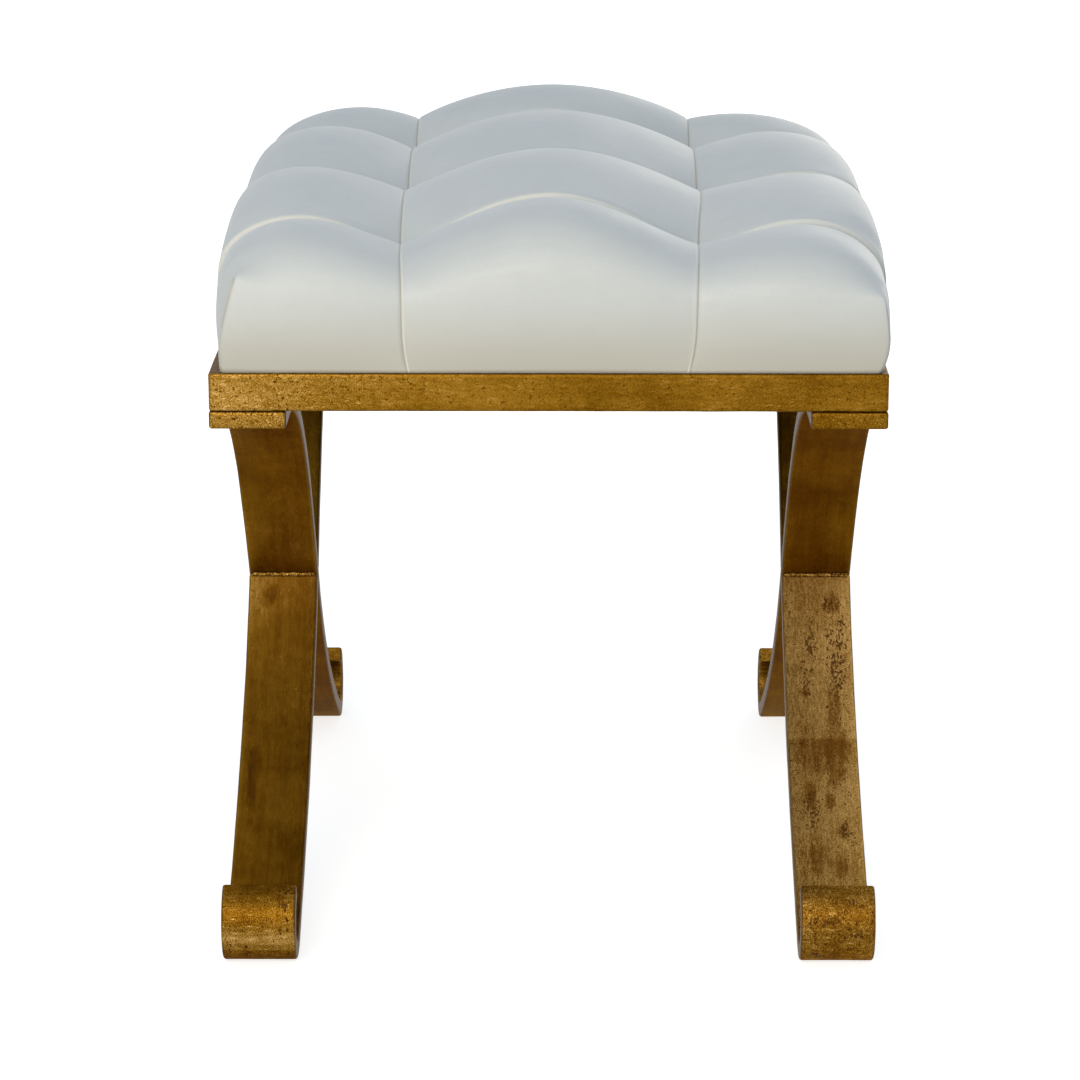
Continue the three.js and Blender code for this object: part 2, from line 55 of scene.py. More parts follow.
import bmesh
import bpy
from bmesh import ops
from bmesh.types import BMEdge, BMFace, BMVert
from bpy.props import FloatProperty, FloatVectorProperty, IntProperty, PointerProperty
from mathutils import Vector, noise

BODY = "root"
MM = 0.001
SIDES = (("left", -1), ("right", 1))

# Sizes of the seat frame and the bars, in metres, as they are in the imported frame
HALF_WIDTH, HALF_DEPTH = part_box("right_long_bar")[1].xy
RAIL_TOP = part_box("front_rail")[1].z
FIT_GAP = 0.3 * MM
CUSHION_BASE = RAIL_TOP + FIT_GAP
BAR_WIDTH = 52 * MM
BAR_THICKNESS = 12 * MM
BAR_ARRIS = 2 * MM
END_BEVEL = 2.2 * MM
ARM_HEIGHT = 396 * MM
TAB_LENGTH = 30 * MM
CROSSING_HEIGHT = 204 * MM
CROSSING_SLOPE = radians(54.3)
SHOULDER_PULL = 0.333
ARM_PULL = 0.369
LEG_PULL = 0.304
SHIN_PULL = 0.363
SCROLL_RADIUS = 29 * MM
SCROLL_TURN = radians(191)
SHIN_SLOPE = radians(25.8)
FOOT_FLAT_DEPTH = 0.5 * MM
FRAME_CENTRE = HALF_WIDTH - BAR_WIDTH / 2


def color_setting(name, description, default):
    return FloatVectorProperty(
        name=name, description=description, subtype="COLOR", size=3, min=0, max=1, default=default)


def length_setting(name, description, low, high, default):
    return FloatProperty(
        name=name, description=description, unit="LENGTH", min=low, max=high, default=default)


def power_setting(name, description, default):
    return FloatProperty(name=name, description=description, unit="POWER", min=0, max=500, default=default)


# Settings that a user would change
class StoolGiltSettings(bpy.types.PropertyGroup):
    bright_color: color_setting(
        "Bright Colour", "Colour of the leaf where the glaze is rubbed off", (0.63, 0.405, 0.142))
    leaf_color: color_setting("Leaf Colour", "Colour of the leaf under a thin glaze", (0.235, 0.116, 0.0095))
    glaze_color: color_setting(
        "Glaze Colour", "Colour of the leaf under the full brown glaze", (0.11, 0.046, 0.0012))
    deep_color: color_setting("Deep Colour", "Colour of the glaze where it gathers", (0.026, 0.0085, 0.001))
    bole_color: color_setting(
        "Bole Colour", "Colour of the clay that shows where the leaf has worn away", (0.085, 0.031, 0.006))
    edge_color: color_setting("Edge Colour", "Colour of the bars' narrow sides", (0.105, 0.064, 0.043))
    stain_color: color_setting("Stain Colour", "Colour of the reddish stains in the glaze", (0.17, 0.062, 0.012))
    waviness: length_setting("Waviness", "How far the hand-finished bars stray from true", 0, 1 * MM, 0.18 * MM)


class StoolCushionSettings(bpy.types.PropertyGroup):
    crown: length_setting("Crown", "Height of the middle tufts above the seat frame", 80 * MM, 130 * MM, 114.2 * MM)
    swell: length_setting("Swell", "Furthest that the filling may push the cloth out", 0, 20 * MM, 2 * MM)
    pressure: FloatProperty(
        name="Pressure", description="Pressure of the filling while the cloth settles", min=0, max=20, default=4)
    settle_frames: IntProperty(
        name="Settling Frames", description="Frames that the cloth is given to settle", min=1, max=60, default=20)
    satin_color: color_setting("Satin Colour", "Colour of the satin cover", (0.69, 0.70, 0.67))
    # Colour of the painted shade deep in the seams, pleats and darts
    crease_shade_color: color_setting("Crease Colour", "Colour deep in the seams and pleats", (0.50, 0.46, 0.37))
    # Colour of the painted highlight beside the seams and along the folded lips and darts
    edge_color: color_setting(
        "Pressed Edge Colour", "Colour of the pressed cloth beside a seam", (0.80, 0.76, 0.66))
    # Colour of the painted shade next to the seat frame, warmed as a painted reflection of the gilding
    hem_shade_color: color_setting("Hem Colour", "Colour of the cover next to the seat frame", (0.57, 0.535, 0.455))


class StoolStageSettings(bpy.types.PropertyGroup):
    lens: FloatProperty(
        name="Lens", description="Focal length of the camera, in millimetres", min=20, max=300, default=126.5)
    pitch: FloatProperty(
        name="Pitch", description="How far the camera looks down", subtype="ANGLE", default=0.269)
    front_light: power_setting("Front Light", "Power of the softbox beside the camera", 82)
    back_light: power_setting("Back Light", "Power of the low softbox behind the stool", 30)
    floor_color: color_setting("Floor Colour", "Colour of the floor", (0.62, 0.60, 0.55))
    softbox_color: color_setting("Softbox Colour", "Colour of both softboxes", (1.0, 0.93, 0.77))
    room_color: color_setting(
        "Room Light Colour", "Colour and strength of the light from all round", (0.272, 0.348, 0.468))


# Node networks
class Network:
    """A material or a world, with short calls for the nodes that feed its shader."""

    def __init__(self, owner, shader="BSDF_PRINCIPLED", **sockets):
        self.owner = owner
        owner.use_nodes = True
        self.tree = owner.node_tree
        self.shader = next(node for node in self.tree.nodes if node.type == shader)
        self.feed(**sockets)

    def put(self, socket, value):
        if isinstance(value, bpy.types.NodeSocket):
            self.tree.links.new(value, socket)
        elif socket.type == "RGBA":
            socket.default_value = (*value, 1)
        else:
            socket.default_value = value

    def feed(self, **sockets):
        """Sets or links the shader's sockets, and gives back the finished material."""
        for socket, value in sockets.items():
            self.put(self.shader.inputs[socket.replace("_", " ")], value)
        return self.owner

    def node(self, kind, sockets=(), **settings):
        made = self.tree.nodes.new("ShaderNode" + kind)
        for setting, value in settings.items():
            setattr(made, setting, value)
        for key, value in dict(sockets).items():
            self.put(made.inputs[key], value)
        return made

    def object_place(self):
        return self.node("TexCoord").outputs["Object"]

    def attribute(self, name, output="Fac"):
        return self.node("Attribute", attribute_name=name).outputs[output]

    def stretch(self, place, scale, shift=(0, 0, 0)):
        return self.node("Mapping", {"Vector": place, "Scale": scale, "Location": shift}).outputs["Vector"]

    def length(self, place):
        return self.node("VectorMath", {0: place}, operation="LENGTH").outputs["Value"]

    def noise(self, place, scale, detail=4, roughness=0.5, distortion=0, stretch=None):
        sockets = {
            "Vector": self.stretch(place, stretch) if stretch else place, "Scale": scale, "Detail": detail,
            "Roughness": roughness, "Distortion": distortion}
        return self.node("TexNoise", sockets).outputs["Fac"]

    def cells(self, place, scale, feature="F1"):
        return self.node("TexVoronoi", {"Vector": place, "Scale": scale}, feature=feature).outputs["Distance"]

    def ease(self, value, low, high, to_low=0, to_high=1):
        sockets = {"Value": value, "From Min": low, "From Max": high, "To Min": to_low, "To Max": to_high}
        return self.node("MapRange", sockets, interpolation_type="SMOOTHSTEP").outputs["Result"]

    def calc(self, operation, first, second=0):
        return self.node("Math", {0: first, 1: second}, operation=operation).outputs[0]

    def plus(self, first, second):
        return self.calc("ADD", first, second)

    def minus(self, first, second):
        return self.calc("SUBTRACT", first, second)

    def times(self, first, *others):
        for other in others:
            first = self.calc("MULTIPLY", first, other)
        return first

    def mix(self, share, first, second, kind="RGBA"):
        """Mixes two colours, or two numbers where the kind is VALUE."""
        made = self.node("Mix", {0: share}, data_type="RGBA" if kind == "RGBA" else "FLOAT")
        for socket, value in zip([socket for socket in made.inputs if socket.type == kind][-2:], (first, second)):
            self.put(socket, value)
        return next(socket for socket in made.outputs if socket.type == kind)

    def sway(self, value, pattern, amount):
        """Moves a value up and down by a pattern that runs about a half."""
        return self.plus(value, self.times(self.minus(pattern, 0.5), amount))

    def ramp(self, value, stops):
        made = self.node("ValToRGB", {"Fac": value})
        points = made.color_ramp.elements
        for index, (position, color) in enumerate(stops):
            point = points[index] if index < 2 else points.new(position)
            point.position = position
            point.color = (*color, 1)
        return made.outputs["Color"]

    def profile(self, value, stops):
        """A value that follows its stops along a length."""
        if len(stops) == 1:
            return stops[0][1]
        low, high = stops[0][0], stops[-1][0]
        share = self.node("MapRange", {"Value": value, "From Min": low, "From Max": high}).outputs["Result"]
        return self.ramp(share, [((place - low) / (high - low), (level,) * 3) for place, level in stops])

    def bump(self, height, strength, distance, under=None):
        sockets = {"Height": height, "Strength": strength, "Distance": distance}
        if under is not None:
            sockets["Normal"] = under
        return self.node("Bump", sockets).outputs["Normal"]

    def seen_share(self):
        """One for the rays that the camera, metal and glass see by, and nothing for those that light the stool."""
        path = self.node("LightPath").outputs
        seen = path["Is Camera Ray"]
        for ray in ("Is Glossy Ray", "Is Transmission Ray"):
            seen = self.calc("MAXIMUM", seen, path[ray])
        return seen


def new_material(name, **sockets):
    return Network(bpy.data.materials.new(name), **sockets)


# Gilding: leaf over clay, toned with a brown glaze and rubbed. A bar's points keep their place on the straight bar:
# across, outwards and along. A finish gives tone and rubbing as stops along the bar in mm, how streaked and worn it
# is, where its brushed foot starts, and its worn patches and stains, each as its place and its reach in mm.
# On the scroll feet and the rails the tone stops also hold painted light and painted shade, as noted there.
Finish = namedtuple("Finish", "tone rub streak wear foot patches stains", defaults=(None, (), ()))
LEAF_LENGTH = 82
FOOT_BLEND = 8
RAGGEDNESS = 2.6
PATCH_WEAR = 0.16
STAIN_DEPTH = 0.27
EDGE_SHARES = (0.955, 0.985)


def patch_mask(net, place, wander, patches):
    mask = 0
    for across, along, reach, length in patches:
        near = net.stretch(place, (1000 / reach, 0, 1000 / length), (-across / reach, 0, -along / length))
        off = net.sway(net.length(near), wander, RAGGEDNESS)
        mask = net.calc("MAXIMUM", mask, net.ease(off, 0.3, 1.3, 1, 0))
    return mask


def gilt_material(name, finish, half_width=None, shift=0.0):
    gilt = bpy.context.scene.stool_gilt
    net = new_material(name, Specular_IOR_Level=0.2, Specular_Tint=(0.55, 0.42, 0.16))
    place = net.attribute("bar_place", "Vector") if half_width else net.object_place()
    axes = net.node("SeparateXYZ", {0: place}).outputs
    along = net.times(axes["Z"], 1000)
    spot = net.stretch(place, (1, 1, 1), (shift, 0.7 * shift, 1.3 * shift))
    rub = net.profile(along, finish.rub)
    clouds = net.noise(spot, 26, 4, 0.6, 0.5)
    streaks = net.noise(spot, 190, 5, 0.6, stretch=(1, 1, 0.06))
    brushed = net.noise(spot, 620, 4, 0.65, stretch=(1, 1, 0.25))
    if finish.foot:
        rubbed_foot = net.noise(spot, 420, 5, 0.7, stretch=(0.22, 1, 1))
        foot = net.ease(along, finish.foot, finish.foot + FOOT_BLEND)
        brushed = net.mix(foot, brushed, rubbed_foot, "VALUE")
    grain = net.noise(spot, 1250, 3, 0.75)
    specks = net.noise(spot, 430, 4, 0.65)
    sheet = net.calc("FLOOR", net.plus(net.times(along, 1 / LEAF_LENGTH), shift * 7))
    sheet = net.node("TexWhiteNoise", {"W": sheet}, noise_dimensions="1D").outputs["Value"]
    flecks = net.times(net.ease(brushed, 0.58, 0.70), net.ease(specks, 0.44, 0.6))
    pits = net.times(net.ease(specks, 0.58, 0.65), net.ease(clouds, 0.42, 0.6, 0.2, 1))
    tone = net.profile(along, finish.tone)
    for pattern, amount in (
            (clouds, 0.42), (streaks, finish.streak), (sheet, 0.05), (brushed, net.times(rub, 0.7)),
            (grain, net.times(rub, 1.9))):
        tone = net.sway(tone, pattern, amount)
    tone = net.plus(tone, net.times(flecks, rub, 0.42))
    tone = net.minus(tone, net.times(pits, rub, 0.5))
    if finish.stains:
        stains = patch_mask(net, place, net.noise(spot, 120, 5, 0.7, stretch=(1, 1, 0.4)), finish.stains)
        stains = net.times(stains, net.ease(streaks, 0.35, 0.6, 1, 0.55))
        tone = net.minus(tone, net.times(stains, STAIN_DEPTH))
    scratches = net.ease(net.cells(net.stretch(spot, (1, 1, 0.8)), 34, "DISTANCE_TO_EDGE"), 0.002, 0.007, 1, 0)
    scratches = net.times(scratches, net.ease(net.noise(spot, 44, 2), 0.56, 0.64))
    tone = net.plus(tone, net.times(scratches, 0.1))
    color = net.ramp(tone, (
        (0, gilt.deep_color), (0.25, gilt.glaze_color), (0.5, gilt.leaf_color), (1, gilt.bright_color)))
    if finish.stains:
        color = net.mix(net.ease(stains, 0, 1, 0.2 * finish.wear, 0.8 * finish.wear + 0.1), color, gilt.stain_color)
    worn_at = net.sway(net.noise(spot, 560, 4, 0.65, stretch=(1, 1, 0.6)), clouds, 0.3)
    if finish.patches:
        patches = patch_mask(net, place, net.noise(spot, 150, 4, 0.65), finish.patches)
        worn_at = net.plus(worn_at, net.times(patches, PATCH_WEAR))
    worn = net.ease(worn_at, 0.71 - 0.12 * finish.wear, 0.77 - 0.12 * finish.wear)
    color = net.mix(net.times(worn, 0.92), color, gilt.bole_color)
    metal = net.ease(worn, 0, 1, 0.9, 0.5)
    rough = net.plus(net.ease(brushed, 0.3, 0.7, 0.4, 0.52), net.times(worn, 0.12))
    if half_width:
        side = net.ease(net.calc("ABSOLUTE", axes["X"]), *(share * half_width for share in EDGE_SHARES))
        side_color = net.mix(net.ease(clouds, 0.35, 0.65, 0, 0.5), gilt.edge_color, gilt.bole_color)
        color = net.mix(net.times(side, 0.85), color, side_color)
        metal = net.times(metal, net.minus(1, net.times(side, 0.7)))
    fine = net.bump(net.plus(grain, brushed), 0.3, 0.12 * MM)
    relief = net.minus(net.times(clouds, 2), net.plus(worn, pits))
    return net.feed(Base_Color=color, Metallic=metal, Roughness=rough, Normal=net.bump(relief, 0.5, 0.2 * MM, fine))


def black_iron_material():
    net = new_material("black_iron_plate", Metallic=0.6)
    place = net.object_place()
    rust = net.ease(net.noise(place, 230, 4, 0.65), 0.58, 0.7, 0, 0.7)
    return net.feed(
        Base_Color=net.mix(rust, (0.028, 0.026, 0.025), (0.12, 0.05, 0.022)),
        Roughness=net.ease(net.noise(place, 60, 5, 0.6), 0.3, 0.7, 0.42, 0.68),
        Normal=net.bump(net.noise(place, 700, 3, 0.6), 0.3, 0.15 * MM))


def zinc_material():
    net = new_material("zinc_screw", Metallic=1.0)
    place = net.object_place()
    return net.feed(
        Base_Color=net.mix(net.cells(place, 900), (0.62, 0.62, 0.60), (0.45, 0.46, 0.48)),
        Roughness=net.ease(net.noise(place, 500, 3, 0.6), 0.3, 0.7, 0.25, 0.45))


def plywood_material():
    net = new_material("birch_plywood", Roughness=0.7)
    place = net.object_place()
    grain = net.noise(place, 160, 6, 0.6, 0.5, stretch=(1, 0.06, 1))
    plies = net.node("TexWave", {"Vector": place, "Scale": 110, "Distortion": 0.6}, bands_direction="Z")
    wood = net.mix(net.ease(grain, 0.35, 0.65), (0.52, 0.36, 0.20), (0.40, 0.25, 0.12))
    return net.feed(
        Base_Color=net.mix(net.times(plies.outputs["Fac"], 0.4), wood, (0.30, 0.17, 0.08)),
        Normal=net.bump(grain, 0.3, 0.2 * MM))


# Satin: fine weft threads along the width. Painted shade darkens the sewn lines and the pleat and dart creases, a
# painted highlight lies beside the seams and along the folded lips, and painted shade, warmed as a painted
# reflection of the gilding, lies towards the frame.
def satin_material():
    cushion = bpy.context.scene.stool_cushion
    satin = cushion.satin_color
    net = new_material("ivory_satin", Specular_IOR_Level=0.4, Sheen_Weight=0.2, Sheen_Roughness=0.4)
    weave = net.attribute("weave", "Vector")
    threads = net.noise(weave, 1700, 2, 0.5, stretch=(0.12, 1, 1))
    slubs = net.noise(weave, 240, 4, 0.6, stretch=(0.15, 1, 1))
    nap = net.noise(weave, 620, 3, 0.7, stretch=(0.5, 1, 1))
    clouds = net.noise(weave, 30, 4, 0.6)
    from_seam = net.times(net.attribute("from_seam"), 1000)
    # Painted highlight just beside each seam
    seam_highlight = net.ease(net.calc("ABSOLUTE", net.plus(from_seam, 1.3)), 0.3, 1.0, 0.7, 0)
    color = satin
    for share, layer, level in (
            (net.ease(clouds, 0.3, 0.7), satin, 0.965),
            (net.ease(slubs, 0.5, 0.75, 0, 0.25), satin, 0.92),
            (net.ease(nap, 0.4, 0.7, 0, 0.5), satin, 0.93),
            # Painted shade towards the frame, warmed as a painted reflection of the gilding
            (net.attribute("hem"), cushion.hem_shade_color, 1),
            # Painted shade in the pleat and dart creases
            (net.ease(net.attribute("crease_shade"), 0.3, 1, 0, 0.9), cushion.crease_shade_color, 1),
            # Painted highlight beside the seams and along the folded lips and darts
            (net.calc("MAXIMUM", seam_highlight, net.attribute("fold_highlight")), cushion.edge_color, 1),
            # Painted shade along each seam line
            (net.ease(net.calc("ABSOLUTE", net.minus(from_seam, 0.1)), 0.2, 0.75, 0.6, 0),
             cushion.crease_shade_color, 0.62)):
        color = net.mix(share, color, [level * channel for channel in layer])
    fine = net.bump(net.plus(threads, nap), 0.2, 0.1 * MM)
    return net.feed(
        Base_Color=color, Roughness=net.ease(slubs, 0.3, 0.7, 0.44, 0.56),
        Normal=net.bump(net.plus(slubs, clouds), 0.12, 0.2 * MM, fine))


def dust_cloth_material():
    net = new_material("black_dust_cloth", Roughness=0.95, Sheen_Weight=0.2)
    place = net.object_place()
    felt = net.noise(place, 160, 5, 0.7)
    return net.feed(
        Base_Color=net.mix(felt, (0.012, 0.012, 0.013), (0.035, 0.034, 0.034)),
        Normal=net.bump(net.plus(net.noise(place, 1400, 3, 0.7), felt), 0.5, 0.3 * MM))


# Making, cutting and finishing pieces
def new_object(name, data):
    made = bpy.data.objects.new(name, data)
    bpy.context.scene.collection.objects.link(made)
    return made


def load_mesh(mesh):
    bm = bmesh.new()
    bm.from_mesh(mesh)
    return bm


def store_mesh(bm, mesh):
    bm.to_mesh(mesh)
    bm.free()


def mesh_object(bm, name, material):
    mesh = bpy.data.meshes.new(name)
    store_mesh(bm, mesh)
    mesh.materials.append(material)
    return new_object(name, mesh)


def finish_piece(bm, name, material, nodes):
    piece = mesh_object(bm, name, material)
    piece.data.shade_smooth()
    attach(piece, BODY)
    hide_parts(*nodes)
    return piece


def only(items, kind):
    """The items of one kind, such as edges."""
    return [item for item in items if isinstance(item, kind)]


def rim_edges(bm):
    return [edge for edge in bm.edges if len(edge.link_faces) == 1]


def cut_at(bm, point, normal, clear=False):
    """Cuts through everything at a plane, and can clear what lies beyond it."""
    return ops.bisect_plane(
        bm, geom=bm.verts[:] + bm.edges[:] + bm.faces[:], dist=1e-6, plane_co=point, plane_no=normal,
        clear_outer=clear)["geom_cut"]


def grind_flat(bm, point, normal):
    """Cuts away what lies beyond a plane and closes the cut."""
    ops.holes_fill(bm, edges=only(cut_at(bm, point, normal, True), BMEdge), sides=0)


def roughen(bm, amount, waves, seed):
    """Moves a surface in and out by slow waves, so many to the metre, with finer ones on them."""
    bm.normal_update()
    shift = Vector((seed * 3.1, seed * 1.7, seed * 2.3))
    for vert in bm.verts:
        wander = noise.noise(vert.co * waves + shift) + 0.35 * noise.noise(vert.co * waves * 5 + shift)
        vert.co += vert.normal * wander * amount


def ease(value):
    """Runs from 0 to 1 with soft ends."""
    value = min(1, max(0, value))
    return value * value * (3 - 2 * value)


def bell(value, centre, reach):
    """One at its centre, and next to nothing well past its reach."""
    return exp(-(((value - centre) / reach) ** 2))


def blend(first, second, share):
    return (1 - share) * first + share * second


# Centre line of a bar in the side plane, as points and headings from the front end to the back
STATION_STEP = 3 * MM
WIDTH_CUTS = 11
THICKNESS_CUTS = 2
FLAT_ANGLE = radians(40)
BAR_WAVES = 24


def downhill(slope):
    return Vector((cos(slope), -sin(slope)))


def curve_stations(start, start_slope, start_share, end, end_slope, end_share):
    reach = (end - start).length
    first = start + downhill(start_slope) * reach * start_share
    second = end - downhill(end_slope) * reach * end_share
    steps = ceil(reach / STATION_STEP)
    stations = []
    for i in range(steps + 1):
        t = i / steps
        s = 1 - t
        point = start * s**3 + first * 3 * s * s * t + second * 3 * s * t * t + end * t**3
        heading = (first - start) * s * s + (second - first) * 2 * s * t + (end - second) * t * t
        stations.append((point, heading.normalized()))
    return stations


def arm_stations():
    tab_end = Vector((-HALF_DEPTH + TAB_LENGTH, ARM_HEIGHT))
    crossing = Vector((0, CROSSING_HEIGHT))
    steps = ceil(TAB_LENGTH / STATION_STEP)
    tab = [(Vector((-HALF_DEPTH + TAB_LENGTH * i / steps, ARM_HEIGHT)), Vector((1, 0))) for i in range(steps)]
    return tab + curve_stations(tab_end, 0, SHOULDER_PULL, crossing, CROSSING_SLOPE, ARM_PULL)


def leg_stations():
    radius = SCROLL_RADIUS - BAR_THICKNESS / 2
    centre = Vector((HALF_DEPTH - SCROLL_RADIUS, SCROLL_RADIUS - FOOT_FLAT_DEPTH))
    steps = ceil(radius * SCROLL_TURN / (STATION_STEP / 2))
    scroll = []
    for i in range(steps + 1):
        angle = SCROLL_TURN * i / steps - SHIN_SLOPE
        outwards = Vector((sin(angle), -cos(angle)))
        scroll.append((centre + outwards * radius, Vector((cos(angle), sin(angle)))))
    shin = curve_stations(
        Vector((0, CROSSING_HEIGHT)), CROSSING_SLOPE, LEG_PULL, scroll[0][0], SHIN_SLOPE, SHIN_PULL)
    return shin + scroll[1:]


def swept_bar(stations, centre_x, side):
    """Sweeps the bar's section along its centre line. Each point keeps its place on the straight bar."""
    bm = bmesh.new()
    local = bm.verts.layers.float_vector.new("bar_place")
    ops.create_grid(bm, x_segments=1, y_segments=1, size=0.5)
    ops.scale(bm, vec=(BAR_WIDTH, BAR_THICKNESS, 1), verts=bm.verts)
    ops.bevel(
        bm, geom=bm.verts[:], offset=BAR_ARRIS, offset_type="OFFSET", segments=4, profile=0.5,
        affect="VERTICES", material=-1)
    long_edges = [edge for edge in bm.edges if edge.calc_length() > BAR_WIDTH / 2]
    ops.subdivide_edges(bm, edges=long_edges, cuts=WIDTH_CUTS)
    short_edges = [
        edge for edge in bm.edges
        if edge.calc_length() > BAR_THICKNESS / 2 and abs(edge.verts[0].co.x - edge.verts[1].co.x) < BAR_ARRIS / 4]
    ops.subdivide_edges(bm, edges=short_edges, cuts=THICKNESS_CUTS)
    for vert in bm.verts:
        vert[local] = Vector((vert.co.x, vert.co.y, 0))
    run = 0
    faces = bm.faces[:]
    for index, (point, heading) in enumerate(stations):
        if index:
            run += (point - stations[index - 1][0]).length
            made = ops.extrude_face_region(bm, geom=faces)["geom"]
            if index > 1:
                ops.delete(bm, geom=faces, context="FACES")
            faces = only(made, BMFace)
        for vert in {vert for face in faces for vert in face.verts}:
            across, out = vert[local].xy
            vert.co = (centre_x + across, side * (point.x - heading.y * out), point.y + heading.x * out)
            vert[local] = Vector((across, out, run))
    ops.recalc_face_normals(bm, faces=bm.faces[:])
    return bm


def soften_tip(bm, point, heading, side, forward):
    """Bevels the rim of a free end, whose face looks forward or back along the bar."""
    normal = Vector((0, side * heading.x, heading.y)) * forward
    corner = Vector((0, side * point.x, point.y))
    cap = [
        face for face in bm.faces
        if face.normal.dot(normal) > 0.99 and abs((face.calc_center_median() - corner).dot(normal)) < FIT_GAP]
    rim = [edge for face in cap for edge in face.edges if sum(other in cap for other in edge.link_faces) == 1]
    ops.bevel(
        bm, geom=rim, offset=END_BEVEL, offset_type="OFFSET", segments=3, profile=0.5,
        affect="EDGES", material=-1, clamp_overlap=True)


def gild_bar(bm, node, finish, half_width, shift):
    """Finishes a bar, and keeps its flat faces flat beside the rounded edges."""
    material = gilt_material(f"{node}_gilt", finish, half_width, shift)
    piece = finish_piece(bm, f"{node}_gilt", material, [node])
    piece.data.set_sharp_from_angle(angle=FLAT_ANGLE)
    piece.modifiers.new("Flat faces", "WEIGHTED_NORMAL").keep_sharp = True


LEFT_ARM = Finish(
    [(0, 0.45), (36, 0.42), (48, 0.37), (150, 0.34), (280, 0.40), (350, 0.45), (378, 0.46)],
    [(0, 1.1), (36, 0.9), (48, 0.15), (378, 0.2)], 0.25, 0.1)
RIGHT_ARM = Finish(
    [(0, 0.33), (36, 0.34), (48, 0.36), (150, 0.33), (280, 0.31), (350, 0.36), (378, 0.41)],
    [(0, 0.6), (36, 0.6), (48, 0.15), (378, 0.2)], 0.3, 0.3)
LOWER_RUB = [(378, 0.25), (680, 0.3), (720, 0.9), (789, 0.8)]
BAR_FINISHES = {
    "left_back_arm": LEFT_ARM,
    "right_back_arm": RIGHT_ARM,
    "left_long_bar": LEFT_ARM._replace(
        tone=LEFT_ARM.tone[:-1] + [(378, 0.24), (680, 0.24), (720, 0.45), (789, 0.4)],
        rub=LEFT_ARM.rub[:-1] + LOWER_RUB, foot=715),
    "right_long_bar": RIGHT_ARM._replace(
        tone=RIGHT_ARM.tone[:-1] + [(378, 0.3), (680, 0.3), (720, 0.47), (789, 0.4)],
        rub=RIGHT_ARM.rub[:-1] + LOWER_RUB, wear=0.2, foot=715),
    # Left foot, from 338 mm to the tip: the bright stop at 377 mm is a painted reflection of the floor, and the
    # darker stops round it are painted shade where the scroll turns under and where the lamp's highlight falls
    "left_front_leg": Finish(
        tone=[
            (0, 0.55), (30, 0.5), (60, 0.43), (150, 0.38), (290, 0.35), (338, 0.28), (356, 0.22), (367, 0.32),
            (377, 0.64), (382, 0.4), (388, 0.29), (400, 0.36), (410, 0.33)],
        rub=[(0, 0.5), (40, 0.28), (300, 0.22), (335, 0.9), (365, 1.3), (410, 0.9)],
        streak=0.3, wear=0.2, foot=330,
        patches=[(-20, 382, 6, 3), (14, 362, 7, 4), (-18, 368, 8, 4), (18, 396, 5, 5)],
        stains=[(-10.6, 22, 7, 9), (-15, 190, 5, 34)]),
    # Right foot, from 345 mm to the tip: the tone is lowered where the lamp's highlight falls, which is painted
    # shade
    "right_front_leg": Finish(
        tone=[
            (0, 0.65), (60, 0.77), (140, 0.8), (146, 0.84), (149, 0.65), (200, 0.76), (290, 0.69), (345, 0.48),
            (358, 0.44), (370, 0.38), (380, 0.36), (386, 0.31), (393, 0.32), (400, 0.44), (410, 0.44)],
        rub=[(0, 0.6), (40, 1.0), (200, 1.1), (410, 1.1)],
        streak=0.35, wear=0.6, foot=330,
        patches=[
            (-11.5, 106, 5.5, 6), (9, 30, 6, 9), (9.5, 92, 6, 56), (17, 80, 6, 50), (-6, 62, 5, 26),
            (-10, 90, 6, 30), (12, 235, 6, 12), (-10, 215, 8, 26), (-8, 387, 13, 4), (11, 379, 10, 3),
            (6, 398, 14, 3), (-14, 364, 9, 4)],
        stains=[
            (-9, 162, 12, 24), (9, 160, 12, 22), (8, 175, 6, 26), (-11.5, 106, 4.5, 5), (10, 125, 6, 26),
            (12, 232, 6, 9), (10, 30, 7, 10), (-12, 200, 6, 18), (4, 205, 5, 9), (-8, 258, 9, 16),
            (8, 268, 9, 12)]),
}


class StoolBars(bpy.types.Operator):
    """Sweeps the curved bars of both X frames and gilds them"""

    bl_idname = "stool.bars"
    bl_label = "X Frame Bars"

    def execute(self, context):
        arm = arm_stations()
        leg = leg_stations()
        crossing = Vector((0, 0, CROSSING_HEIGHT))
        square = Vector((0, sin(CROSSING_SLOPE), cos(CROSSING_SLOPE)))
        clear = square * (BAR_THICKNESS / 2 + 1.6 * FIT_GAP)
        for number, (name, sign) in enumerate(SIDES):
            for part, stations, side in (
                    ("long_bar", arm + leg[1:], 1), ("back_arm", arm, -1), ("front_leg", leg, -1)):
                bm = swept_bar(stations, sign * FRAME_CENTRE, side)
                if part != "front_leg":
                    soften_tip(bm, *arm[0], side, -1)
                if part != "back_arm":
                    soften_tip(bm, *leg[-1], side, 1)
                roughen(bm, context.scene.stool_gilt.waviness, BAR_WAVES, 1 + number * 3 + len(part))
                if part == "back_arm":
                    grind_flat(bm, crossing + clear, -square)
                else:
                    if part == "front_leg":
                        grind_flat(bm, crossing - clear, square)
                    grind_flat(bm, (0, 0, 0), (0, 0, -1))
                node = f"{name}_{part}"
                gild_bar(bm, node, BAR_FINISHES[node], BAR_WIDTH / 2, 0.31 * number + 0.1 * len(part))
        return {"FINISHED"}


